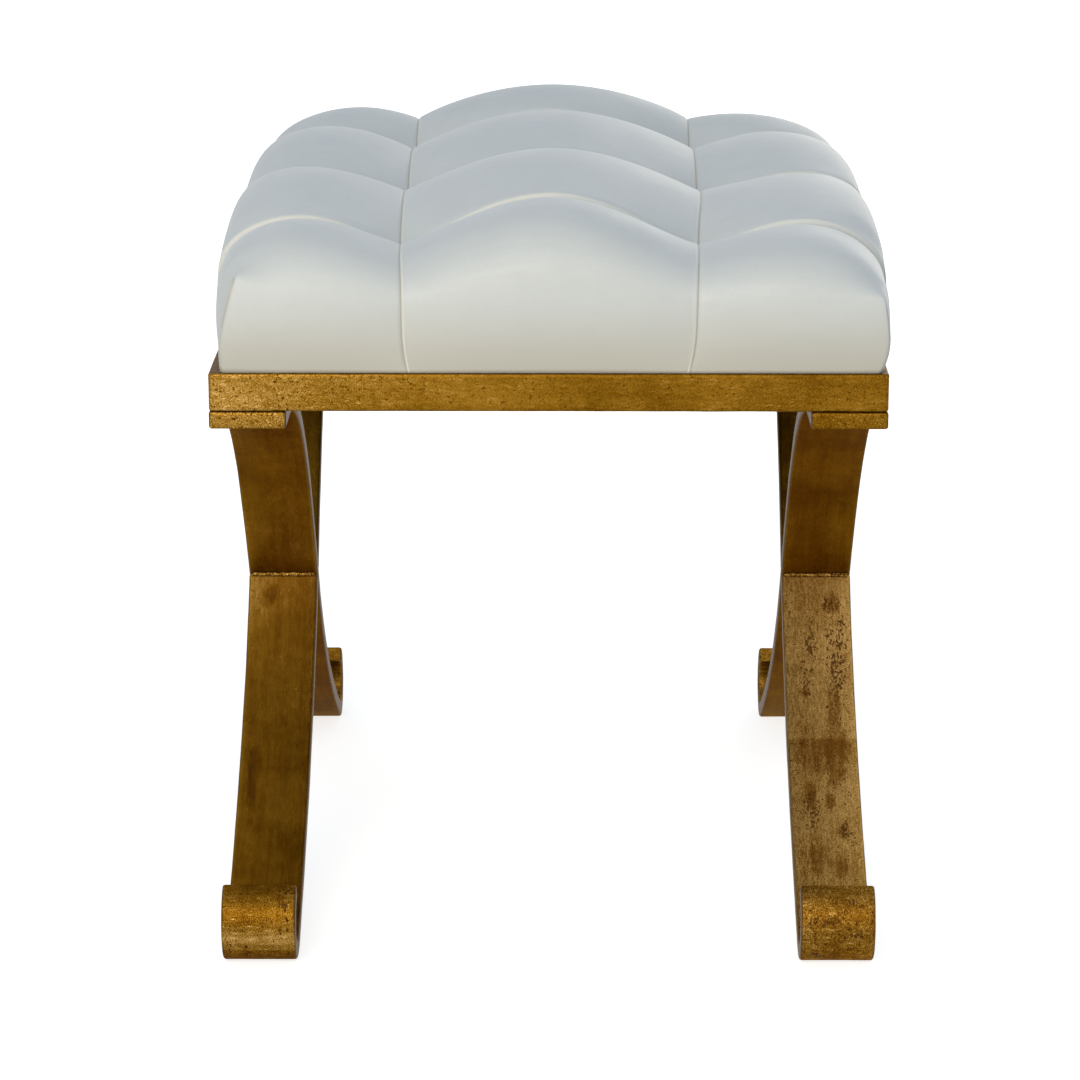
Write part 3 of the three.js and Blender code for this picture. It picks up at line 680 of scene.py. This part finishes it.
# Solids whose shape is right are merged, cut finer and softened by hand work
# The tone rises towards each rail's low end, the left end of the front and back rails: painted light, as if that end
# were lit more strongly
RAIL_FINISH = Finish(
    [(-305, 0.6), (-228, 0.58), (-170, 0.5), (-90, 0.42), (0, 0.375), (228, 0.345), (305, 0.4)],
    [(-305, 1.2), (-170, 0.8), (-60, 0.4), (228, 0.5)], 0.2, 0.15)
RAIL_STEPS = (4 * MM, 3.2 * MM)
RAIL_WAVES = 40
END_RAIL_SHARE = 1.02
WELD_FINISH = Finish([(0, 0.36)], [(0, 1.9)], 0.3, 1.2)
WELD_STEP = 1 * MM
WELD_SHARE = 0.62
WELD_ROUGHNESS = 0.45 * MM
WELD_WAVES = 330


def refined_copy(node):
    bm = load_mesh(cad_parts[node].data)
    ops.remove_doubles(bm, verts=bm.verts[:], dist=0.002 * MM)
    ops.dissolve_limit(
        bm, angle_limit=radians(1), verts=bm.verts[:], edges=bm.edges[:], delimit=set())
    return bm


def cut_every(bm, axis, low, high, step):
    normal = Vector((0, 0, 0))
    normal[axis] = 1
    count = max(1, round((high - low) / step))
    for i in range(1, count):
        cut_at(bm, normal * (low + (high - low) * i / count), normal)


class StoolRails(bpy.types.Operator):
    """Refines and gilds the four mitred rails of the seat frame"""

    bl_idname = "stool.rails"
    bl_label = "Seat Rails"

    def execute(self, context):
        for number, (name, axis) in enumerate((("front", 0), ("back", 0), ("left", 1), ("right", 1))):
            node = f"{name}_rail"
            low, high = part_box(node)
            bm = refined_copy(node)
            for cut_axis, step in zip((axis, 2), RAIL_STEPS):
                cut_every(bm, cut_axis, low[cut_axis], high[cut_axis], step)
            local = bm.verts.layers.float_vector.new("bar_place")
            middle = (low + high) / 2
            for vert in bm.verts:
                offset = vert.co - middle
                vert[local] = Vector((offset.z, offset[1 - axis], vert.co[axis]))
            roughen(bm, context.scene.stool_gilt.waviness, RAIL_WAVES, 5 + number)
            half_height = (high.z - low.z) / 2 * (1 if axis else END_RAIL_SHARE)
            gild_bar(bm, node, RAIL_FINISH, half_height, 0.13 + 0.37 * number)
        return {"FINISHED"}


class StoolWelds(bpy.types.Operator):
    """Gives the weld beads their uneven, hand-laid surface"""

    bl_idname = "stool.welds"
    bl_label = "Weld Beads"

    def execute(self, context):
        material = gilt_material("weld_gilt", WELD_FINISH)
        nodes = [f"{side}_cross_weld_{place}" for side, _ in SIDES for place in ("front", "back", "top", "bottom")]
        nodes += [f"{side}_{end}_tab_weld" for side, _ in SIDES for end in ("front", "back")]
        for number, node in enumerate(nodes):
            bm = refined_copy(node)
            low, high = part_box(node)
            cut_every(bm, 0, low.x, high.x, WELD_STEP)
            if "cross" in node:
                crossing = Vector((0, CROSSING_HEIGHT))
                heel = min((vert.co.yz for vert in bm.verts), key=lambda point: (point - crossing).length)
                for vert in bm.verts:
                    vert.co.yz = heel + (vert.co.yz - heel) * WELD_SHARE
            roughen(bm, WELD_ROUGHNESS, WELD_WAVES, 20 + number)
            finish_piece(bm, f"{node}_bead", material, [node])
        return {"FINISHED"}


class StoolHardware(bpy.types.Operator):
    """Finishes the corner plates, the screws and the seat board"""

    bl_idname = "stool.hardware"
    bl_label = "Plates, Screws and Board"

    def execute(self, context):
        for kind, material in (
                ("plate", black_iron_material()), ("screw", zinc_material()), ("board", plywood_material())):
            for node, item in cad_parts.items():
                if node.endswith(kind):
                    item.data.materials.clear()
                    item.data.materials.append(material)
        return {"FINISHED"}


# Cushion: three columns of tufts by four rows, from the middle of one sewn line to the next. A pair gives the value
# on the left and the one on the right.
SEAM_PLACE = HALF_WIDTH - 124 * MM
PLEAT_PLACE = HALF_DEPTH - 120 * MM
SEAM_LINES = (-SEAM_PLACE, SEAM_PLACE)
PLEAT_LINES = (-PLEAT_PLACE, 0, PLEAT_PLACE)
ROW_CENTRES = (-(HALF_DEPTH + PLEAT_PLACE) / 2, -PLEAT_PLACE / 2, PLEAT_PLACE / 2, (HALF_DEPTH + PLEAT_PLACE) / 2)
SIDE_TUCK = 6 * MM
END_TUCK = 1.5 * MM
TUCK_SHARE = 0.4
SIDE_BULGES = (2 * MM, 3.2 * MM)
END_BULGE = 2.2 * MM
ROW_BULGE = 4 * MM
ROW_BULGE_START = 70 * MM
WALL_WIDTH = 3 * MM
WALL_SHARE = 0.5
SIDE_ROLL_WIDTH = 60 * MM
END_ROLL_WIDTH = 62 * MM
ROLL_POWER = 0.75
COLUMN_DROP = 15.5 * MM
ROW_DROP = 6 * MM
SEAM_DEPTH = 32 * MM
SEAM_ROW_DROP = 3.5 * MM
PLEAT_DEPTH = 18 * MM
TUFT_DEPTH = 59 * MM
SEAM_POWER = 0.85
SIDE_SEAM_POWER = 0.9
PLEAT_POWER = 0.7
SEAM_NOTCH = 4 * MM
PLEAT_NOTCH = 0.2 * MM
SEAM_DRIFT = 2.5 * MM
SEAM_TAPER = 3 * MM
SEAM_PULL = 3.5 * MM
FRONT_DROPS = (11 * MM, 21 * MM)
FRONT_REACH = 40 * MM
FLANK_SHARE = 0.55
FLANK_REACH = 30 * MM
BACK_DROP = 36 * MM
BACK_REACH = 57 * MM
CORNER_RADIUS = 5 * MM
CORNER_PULLS = (22 * MM, 8 * MM)
PULL_REACH = 30 * MM
PULL_FADE = 50 * MM
WALL_GAIN = 0.3
WALL_REACH = 26 * MM
CORNER_POWER = 7
WIDENS = (8 * MM, 13 * MM)
WIDEN_REACH = 120 * MM
SHIFT = 1.6 * MM
WALL_STEPS = 4
ROLL_STEPS = 8
CREST_STEPS = 8
CELL_STEPS = 20
PINCH = 0.75
PLEAT_DIP = 2.5 * MM
PLEAT_DIP_REACH = 7 * MM
PLEAT_LIPS = (5.2 * MM, 4.8 * MM, 4 * MM)
LIP_REACH = 14 * MM
PLEAT_WALL = 1.6 * MM
LIP_SHARES = (0.95, 0.6)
LOW_LIP_SHARE = 0.45
TUFT_REACH = 18 * MM
# Strength of the painted highlight along the folded lips, on the left and on the right
FOLD_HIGHLIGHTS = (0.7, 0.35)
DART_WIDTH = 3 * MM
DART_TOP = 62 * MM
DART_FOOT = 20 * MM
DART_LIFT = 1.4 * MM
DART_EDGE = 0.3 * MM
DART_REACHES = (14 * MM, 9 * MM)
# How high the painted shade next to the frame reaches, then how far the hem turns under
HEM_SHADE_REACH = 55 * MM
HEM_INSET = 11 * MM

# Lines pressed into the cloth, and lines of painted shade in the creases and painted highlight on the folds: how far
# each lies past its seam, pleat or dart, then its reach
SEAM_DEPTHS = (0.9 * MM, 0.2 * MM)
SEAM_GROOVE = (0.2 * MM, 0.9 * MM)
SEAM_RIDGE = (-1.8 * MM, 1 * MM)
PLEAT_CREASE_SHADE = (0, 1.1 * MM)
PLEAT_HIGHLIGHT = (1.4 * MM, 0.6 * MM)
DART_CREASE_SHADE = (0.6 * MM, 0.7 * MM)
DART_HIGHLIGHT = (-0.9 * MM, 1.3 * MM)

# Hand filling, from the left column to the right and from the front row to the back: how far each tuft and each
# row's seams stand over the mean, in mm, and how sharply each row falls to its seams
TUFT_RISES = ((-1.5, 1, 0.5, 3.5), (-2.5, -1, -3, 3.6), (-7, -6, -5, -2))
SEAM_RISES = (-4.3, 0.9, 0, 4.8)
ROW_SHARPNESS = (1.45, 1.18, 1.04, 0.96)

FILLING = {
    "quality": 6, "mass": 0.3, "tension_stiffness": 30, "compression_stiffness": 30, "shear_stiffness": 15,
    "bending_stiffness": 2, "use_pressure": True, "vertex_group_mass": "sewn"}

Station = namedtuple("Station", "place climb arch lift edge cell")


def edge_stations(roll_width, line_inset, power):
    """Stations from the edge to the first sewn line. Their place is the distance from the edge."""
    stations = [Station(WALL_WIDTH * i / WALL_STEPS, i / WALL_STEPS, 0, 1, 1, 0) for i in range(WALL_STEPS + 1)]
    for i in range(1, ROLL_STEPS + 1):
        angle = pi / 2 * i / ROLL_STEPS
        inset = WALL_WIDTH + roll_width * (1 - cos(angle))
        stations.append(Station(inset, 1, sin(angle) ** ROLL_POWER, 1, 1, 0))
    crest = WALL_WIDTH + roll_width
    for i in range(1, CREST_STEPS + 1):
        share = i / CREST_STEPS
        share = share * (1 + PINCH) - PINCH * share * share
        lift = max(0, cos(pi / 2 * share)) ** power if i < CREST_STEPS else 0
        stations.append(Station(crest + (line_inset - crest) * share, 1, 1, lift, 1, 0))
    return stations


def axis_stations(half, lines, roll_width, edge_power, power):
    start = edge_stations(roll_width, half + lines[0], edge_power)
    stations = [station._replace(place=station.place - half) for station in start]
    for cell, (low, high) in enumerate(zip(lines, lines[1:]), 1):
        for i in range(1, CELL_STEPS + 1):
            share = i / CELL_STEPS - PINCH * sin(2 * pi * i / CELL_STEPS) / (2 * pi)
            lift = max(0, sin(pi * share)) ** power if i < CELL_STEPS else 0
            stations.append(Station(low + (high - low) * share, 1, 1, lift, 0, cell))
    last = len(lines)
    return stations + [station._replace(place=half - station.place, cell=last) for station in reversed(start[:-1])]


def row_sharpness(y):
    """Eases from one row's value to the next."""
    value = ROW_SHARPNESS[0]
    for i, (low, high) in enumerate(zip(ROW_CENTRES, ROW_CENTRES[1:])):
        value += (ROW_SHARPNESS[i + 1] - ROW_SHARPNESS[i]) * ease((y - low) / (high - low))
    return value


def insets(column, row):
    return HALF_WIDTH - abs(column.place), HALF_DEPTH - abs(row.place)


def cushion_top(crown, column, row):
    """Height of the cover's top between its tuft points, seams, pleats and crests."""
    sharpness = row_sharpness(row.place)
    lift_x = column.lift ** ((1 + sharpness) / 2 if column.edge else sharpness)
    crest = crown - COLUMN_DROP * column.edge - ROW_DROP * row.edge + TUFT_RISES[column.cell][row.cell] * MM
    pleat = crown - COLUMN_DROP * column.edge - PLEAT_DEPTH
    seam = crown - SEAM_DEPTH - SEAM_ROW_DROP * row.edge + SEAM_RISES[row.cell] * MM
    inset_x, inset_y = insets(column, row)
    if row.place > 0:
        drop = BACK_DROP * bell(hypot(inset_x, inset_y), 0, BACK_REACH)
    else:
        from_pleat = inset_y - (HALF_DEPTH - PLEAT_PLACE)
        flank = FLANK_SHARE * ease(1 - from_pleat / FLANK_REACH)
        drop = FRONT_DROPS[column.place > 0] * bell(inset_x, 0, FRONT_REACH)
        drop *= max(bell(inset_y, 0, FRONT_REACH), flank)
    return blend(blend(crown - TUFT_DEPTH, seam, row.lift), blend(pleat, crest, row.lift), lift_x) - drop


def edge_rise(station, wall_share=WALL_SHARE):
    return blend(station.arch, station.climb, wall_share)


def cushion_point(crown, column, row):
    """Sides drawn in at the frame, notched at the ends of the sewn lines and rounded at the corners."""
    inset_x, inset_y = insets(column, row)
    wall_share = WALL_SHARE + WALL_GAIN * bell(hypot(inset_x, inset_y), 0, WALL_REACH)
    rise_x, rise_y = edge_rise(column, wall_share), edge_rise(row, wall_share)
    rise = 0
    if min(rise_x, rise_y) > 0:
        rise = (rise_x**-CORNER_POWER + rise_y**-CORNER_POWER - 1) ** (-1 / CORNER_POWER)
    tuck = max(0, 1 - rise / TUCK_SHARE) ** 2
    right = column.place > 0
    back = row.place / HALF_DEPTH
    bulge = SIDE_BULGES[right] + ROW_BULGE * ease(inset_y / ROW_BULGE_START - 1) * (1 - ease(back))
    flare_x = bulge - (bulge + SIDE_TUCK) * tuck
    flare_y = END_BULGE - (END_BULGE + END_TUCK) * tuck
    notch_x = PLEAT_NOTCH * (1 - row.lift) * 4 * rise_x * (1 - rise_x)
    notch_y = SEAM_NOTCH * (1 - column.lift) * 4 * rise_y * (1 - rise_y)
    drift = SEAM_DRIFT * (1 - rise_y) - SEAM_TAPER * back
    drift += right * SEAM_PULL * ease((-row.place - PLEAT_PLACE / 2) / (PLEAT_PLACE / 2))
    over_x, over_y = CORNER_RADIUS - inset_x, CORNER_RADIUS - inset_y
    pull = 1 - max(over_x, over_y) / hypot(over_x, over_y) if over_x > 0 and over_y > 0 else 0
    drawn_in = CORNER_PULLS[right] * rise * bell(inset_y, 0, PULL_REACH) * exp(-inset_x / PULL_FADE)
    widen = WIDENS[right] * sin(pi * min(1, inset_x / WIDEN_REACH)) * (1 - ease(1.7 * back - 0.1))
    reach_x = abs(column.place) - over_x * pull - notch_x - drawn_in + widen
    reach_x -= drift * sin(pi * abs(column.place) / HALF_WIDTH)
    reach_y = abs(row.place) - over_y * pull - notch_y - 0.4 * drawn_in
    return Vector((
        copysign(reach_x * (1 + flare_x / HALF_WIDTH), column.place) + SHIFT,
        copysign(reach_y * (1 + flare_y / HALF_DEPTH), row.place),
        CUSHION_BASE + rise * cushion_top(crown, column, row)))


def run_lengths(points):
    lengths = [0]
    for first, second in zip(points, points[1:]):
        lengths.append(lengths[-1] + (second - first).length)
    return [length - lengths[-1] / 2 for length in lengths]


def cushion_shell(crown):
    """The cover before it is filled: a grid laid over the tufts, with each point's place on the cloth kept."""
    columns = axis_stations(HALF_WIDTH, SEAM_LINES, SIDE_ROLL_WIDTH, SIDE_SEAM_POWER, SEAM_POWER)
    rows = axis_stations(HALF_DEPTH, PLEAT_LINES, END_ROLL_WIDTH, PLEAT_POWER, PLEAT_POWER)
    bm = bmesh.new()
    place = bm.verts.layers.float_vector.new("place")
    weave = bm.verts.layers.float_vector.new("weave")
    pin = bm.verts.layers.deform.verify()
    across, along = len(columns) - 1, len(rows) - 1
    ops.create_grid(bm, x_segments=across, y_segments=along, size=1)
    middle_row, middle_column = rows[along // 4], columns[across // 2]
    runs_x = run_lengths([cushion_point(crown, column, middle_row) for column in columns])
    runs_y = run_lengths([cushion_point(crown, middle_column, row) for row in rows])
    for vert in bm.verts:
        i = round((vert.co.x + 1) / 2 * across)
        j = round((vert.co.y + 1) / 2 * along)
        column, row = columns[i], rows[j]
        vert.co = cushion_point(crown, column, row)
        rise = min(edge_rise(column), edge_rise(row))
        vert[place] = Vector((column.place, row.place, rise))
        vert[weave] = Vector((runs_x[i], runs_y[j], 0))
        sewn = column.lift == 0 or row.lift == 0
        vert[pin][0] = 1.0 if sewn or rise < 0.1 else 0.0
    ops.recalc_face_normals(bm, faces=bm.faces[:])
    if sum(face.normal.z for face in bm.faces) < 0:
        ops.reverse_faces(bm, faces=bm.faces[:])
    return bm


def fill_cushion(piece, cushion):
    """Lets the filling push the cover out between its sewn lines, and keeps the push within the swell."""
    scene = bpy.context.scene
    piece.vertex_groups.new(name="sewn")
    rest = [vert.co.copy() for vert in piece.data.vertices]
    cloth = piece.modifiers.new("Filling", "CLOTH")
    for setting, value in FILLING.items():
        setattr(cloth.settings, setting, value)
    cloth.settings.uniform_pressure_force = cushion.pressure
    cloth.settings.effector_weights.gravity = 0
    cloth.collision_settings.use_collision = False
    cloth.point_cache.frame_start = 1
    cloth.point_cache.frame_end = cushion.settle_frames
    for step in range(1, cushion.settle_frames + 1):
        scene.frame_set(step)
    settled = piece.evaluated_get(bpy.context.evaluated_depsgraph_get()).to_mesh()
    moves = [vert.co - start for vert, start in zip(settled.vertices, rest)]
    piece.modifiers.remove(cloth)
    scene.frame_set(1)
    for vert, start, move in zip(piece.data.vertices, rest, moves):
        vert.co = start + move * min(1, cushion.swell / max(move.length, 1e-9))


def smooth_cushion(piece):
    """Rounds the cover between its points, after its flat bottom is taken away."""
    bm = load_mesh(piece.data)
    ops.delete(bm, geom=[face for face in bm.faces if len(face.verts) > 4], context="FACES_ONLY")
    store_mesh(bm, piece.data)
    smooth = piece.modifiers.new("Smooth", "SUBSURF")
    smooth.levels = smooth.render_levels = 2
    graph = bpy.context.evaluated_depsgraph_get()
    smoothed = bpy.data.meshes.new_from_object(
        piece.evaluated_get(graph), preserve_all_data_layers=True, depsgraph=graph)
    piece.modifiers.remove(smooth)
    return load_mesh(smoothed)


def pleat_fold(off, lip):
    """Rise across a pleat: the cloth dips behind one row, then stands up in the folded lip of the next."""
    if off < 0:
        return -PLEAT_DIP * exp(-((-off / PLEAT_DIP_REACH) ** 1.3))
    return -PLEAT_DIP + (PLEAT_DIP + lip * exp(-off / LIP_REACH)) * ease(off / PLEAT_WALL)


def sew_cushion(bm):
    """Presses the seams, the pleats and the corner darts into the filled cover, and sets the masks for painted shade
    in the creases and next to the frame and for painted highlights beside the seams, lips and darts.
    """
    place = bm.verts.layers.float_vector["place"]
    crease_shade, fold_highlight, hem, from_seam = (
        bm.verts.layers.float.new(name) for name in ("crease_shade", "fold_highlight", "hem", "from_seam"))
    bm.normal_update()
    moves = []
    for vert in bm.verts:
        x, y, rise = vert[place]
        off = abs(x) - SEAM_PLACE
        line = min(PLEAT_LINES, key=lambda candidate: abs(y - candidate))
        past = y - line
        above = vert.co.z - CUSHION_BASE
        vert[from_seam] = off
        # Painted shade next to the frame, fading out up the sides
        vert[hem] = ease(1 - above / HEM_SHADE_REACH)
        press = SEAM_DEPTHS[1] * bell(off, *SEAM_RIDGE) - SEAM_DEPTHS[0] * bell(off, *SEAM_GROOVE)
        press *= ease((rise - 0.02) / 0.08)
        inset_x = HALF_WIDTH - abs(x)
        share = (above - DART_FOOT) / (DART_TOP - DART_FOOT)
        if inset_x < DART_REACHES[0] and HALF_DEPTH - abs(y) < DART_REACHES[1] and 0 < share < 1.05:
            edge = inset_x - DART_WIDTH * share
            fade = min(1, 3 * share)
            press += DART_LIFT * fade / (1 + exp(edge / DART_EDGE))
            # The dart's dark line is painted shade and its pale line a painted highlight
            vert[crease_shade] = fade * bell(edge, *DART_CREASE_SHADE)
            vert[fold_highlight] = fade * bell(edge, *DART_HIGHLIGHT)
        on_side = ease((rise - 0.12) / 0.4)
        near_tuft = bell(off, 0, TUFT_REACH)
        height = PLEAT_LIPS[PLEAT_LINES.index(line)] * (1 if off < 0 else LIP_SHARES[x > 0])
        height *= blend(LOW_LIP_SHARE, 1, ease((rise - 0.55) / 0.42))
        lip = pleat_fold(past, height) * on_side * (1 - 0.85 * near_tuft)
        # Painted shade in each pleat crease, and a painted highlight along the folded lip
        vert[crease_shade] = max(vert[crease_shade], 0.8 * bell(past, *PLEAT_CREASE_SHADE) * on_side)
        folded = FOLD_HIGHLIGHTS[x > 0] * bell(past, *PLEAT_HIGHLIGHT) * on_side
        vert[fold_highlight] = max(vert[fold_highlight], folded * (1 - 0.8 * near_tuft))
        moves.append(vert.normal * press + Vector((vert.normal.x * lip, 0, abs(vert.normal.z) * lip)))
    for vert, move in zip(bm.verts, moves):
        vert.co += move


def close_cushion(bm, board_top):
    """Turns the cover's hem under the cushion and round the seat board."""
    rim = rim_edges(bm)
    scale_x = (HALF_WIDTH - HEM_INSET) / (HALF_WIDTH - SIDE_TUCK)
    scale_y = (HALF_DEPTH - HEM_INSET) / (HALF_DEPTH - END_TUCK)
    for scale, lift in (((scale_x, scale_y, 1), 0), ((1, 1, 1), board_top - CUSHION_BASE)):
        made = ops.extrude_edge_only(bm, edges=rim)["geom"]
        rim = only(made, BMEdge)
        ops.scale(bm, vec=scale, verts=only(made, BMVert))
        ops.translate(bm, vec=(0, 0, lift), verts=only(made, BMVert))
    ops.edgeloop_fill(bm, edges=rim)
    ops.recalc_face_normals(bm, faces=bm.faces[:])


class StoolCushion(bpy.types.Operator):
    """Makes the tufted cushion: cover, filling, seams, pleats and corner folds"""

    bl_idname = "stool.cushion"
    bl_label = "Tufted Cushion"

    def execute(self, context):
        cushion = context.scene.stool_cushion
        bm = cushion_shell(cushion.crown)
        ops.edgeloop_fill(bm, edges=rim_edges(bm))
        piece = finish_piece(
            bm, "tufted_cushion_satin", satin_material(), ["tufted_cushion", "foam_core"])
        fill_cushion(piece, cushion)
        bm = smooth_cushion(piece)
        sew_cushion(bm)
        close_cushion(bm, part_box("seat_board")[1].z + FIT_GAP)
        store_mesh(bm, piece.data)
        piece.data.shade_smooth()
        return {"FINISHED"}


# Dust cover: felted cloth, stretched and hardly sagging, with its corners clipped round the corner plates
COVER_CLIP = 68 * MM
COVER_SAG = 3.5 * MM
COVER_RIPPLE = 0.8 * MM
COVER_WAVES = 18
COVER_GAP = 0.2 * MM
COVER_THICKNESS = 0.5 * MM


class StoolDustCover(bpy.types.Operator):
    """Stretches the dust cover under the seat board"""

    bl_idname = "stool.dust_cover"
    bl_label = "Dust Cover"

    def execute(self, context):
        low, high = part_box("dust_cover")
        width, length = high.x - low.x, high.y - low.y
        bm = bmesh.new()
        ops.create_grid(bm, x_segments=44, y_segments=58, size=0.5)
        ops.scale(bm, vec=(width, length, 1), verts=bm.verts)
        for sign_x in (-1, 1):
            for sign_y in (-1, 1):
                corner = Vector((sign_x * (high.x - COVER_CLIP), sign_y * high.y, 0))
                cut_at(bm, corner, (sign_x, sign_y, 0), True)
        for vert in bm.verts:
            inner = (1 - (vert.co.x / high.x) ** 2) * (1 - (vert.co.y / high.y) ** 2)
            ripple = noise.noise(vert.co * COVER_WAVES) * COVER_RIPPLE * inner
            vert.co.z = high.z - COVER_GAP - COVER_SAG * inner + ripple
        piece = finish_piece(bm, "dust_cover_cloth", dust_cloth_material(), ["dust_cover"])
        thick = piece.modifiers.new("Cloth", "SOLIDIFY")
        thick.thickness = COVER_THICKNESS
        thick.offset = -1
        return {"FINISHED"}


# Stage, in metres and radians
CAMERA_PLACE = (0.0069, -2.784, 0.9965)
CAMERA_TILT = 0.0051
FRONT_SOFTBOX_PLACE = (-0.9, -3.4, 1.9)
BACK_SOFTBOX_PLACE = (1.5, 3.4, 1.0)
SOFTBOX_AIM = Vector((0, 0, 0.3))
SOFTBOX_SIZE = 2.2
FLOOR_REACH = 12
GLOW_RING = (0.7, 1.6)
GLOW_NEAR = 0.76
WHITE = (1, 1, 1)


class StoolStage(bpy.types.Operator):
    """Sets the floor, the soft studio light and the camera"""

    bl_idname = "stool.stage"
    bl_label = "Stage"

    def execute(self, context):
        scene = context.scene
        stage = scene.stool_stage
        scene.view_settings.view_transform = "Standard"
        self.make_floor(stage)
        scene.world = bpy.data.worlds.new("studio")
        net = Network(scene.world, "BACKGROUND")
        net.feed(Color=net.mix(net.seen_share(), stage.room_color, WHITE))
        for name, place, power in (
                ("front_softbox", FRONT_SOFTBOX_PLACE, stage.front_light),
                ("back_softbox", BACK_SOFTBOX_PLACE, stage.back_light)):
            self.make_softbox(name, place, power, stage.softbox_color)
        lens = bpy.data.cameras.new("photo_camera")
        lens.lens = stage.lens
        lens.sensor_width = 36
        lens.clip_end = 50
        scene.camera = new_object("photo_camera", lens)
        scene.camera.location = CAMERA_PLACE
        scene.camera.rotation_euler = (pi / 2 - stage.pitch, 0, CAMERA_TILT)
        return {"FINISHED"}

    def make_floor(self, stage):
        """A plain floor that glows white to the eye away from the stool, and keeps the stool's shadow."""
        bm = bmesh.new()
        ops.create_grid(bm, x_segments=1, y_segments=1, size=FLOOR_REACH)
        net = new_material("floor_paint", Roughness=0.9, Base_Color=stage.floor_color, Emission_Color=WHITE)
        glow = net.times(net.seen_share(), net.ease(net.length(net.object_place()), *GLOW_RING, GLOW_NEAR, 1))
        mesh_object(bm, "floor", net.feed(Emission_Strength=glow))

    def make_softbox(self, name, place, power, color):
        lamp = bpy.data.lights.new(name, "AREA")
        lamp.shape = "SQUARE"
        lamp.size = SOFTBOX_SIZE
        lamp.energy = power
        lamp.color = color
        softbox = new_object(name, lamp)
        softbox.location = place
        softbox.rotation_mode = "QUATERNION"
        softbox.rotation_quaternion = (SOFTBOX_AIM - Vector(place)).to_track_quat("-Z", "Y")


class StoolPanel(bpy.types.Panel):
    """Lists the pieces of the stool and their settings"""

    bl_idname = "VIEW3D_PT_stool"
    bl_label = "X Frame Stool"
    bl_space_type = "VIEW_3D"
    bl_region_type = "UI"
    bl_category = "Stool"

    def draw(self, context):
        for group, _, operators in GROUPS:
            box = self.layout.box()
            settings = getattr(context.scene, group)
            for name in settings.__annotations__:
                box.prop(settings, name)
            for operator in operators:
                box.operator(operator.bl_idname)


GROUPS = (
    ("stool_gilt", StoolGiltSettings, (StoolBars, StoolRails, StoolWelds, StoolHardware)),
    ("stool_cushion", StoolCushionSettings, (StoolCushion, StoolDustCover)),
    ("stool_stage", StoolStageSettings, (StoolStage,)),
)
PIECES = [operator for _, _, operators in GROUPS for operator in operators]
CLASSES = [settings for _, settings, _ in GROUPS] + PIECES + [StoolPanel]


def register():
    for item in CLASSES:
        bpy.utils.register_class(item)
    for group, settings, _ in GROUPS:
        setattr(bpy.types.Scene, group, PointerProperty(type=settings))


def unregister():
    for group, _, _ in GROUPS:
        delattr(bpy.types.Scene, group)
    for item in reversed(CLASSES):
        bpy.utils.unregister_class(item)


def main():
    register()
    for operator in PIECES:
        getattr(bpy.ops.stool, operator.bl_idname.split(".")[1])()
    bpy.context.view_layer.update()


if __name__ == "__main__":
    main()
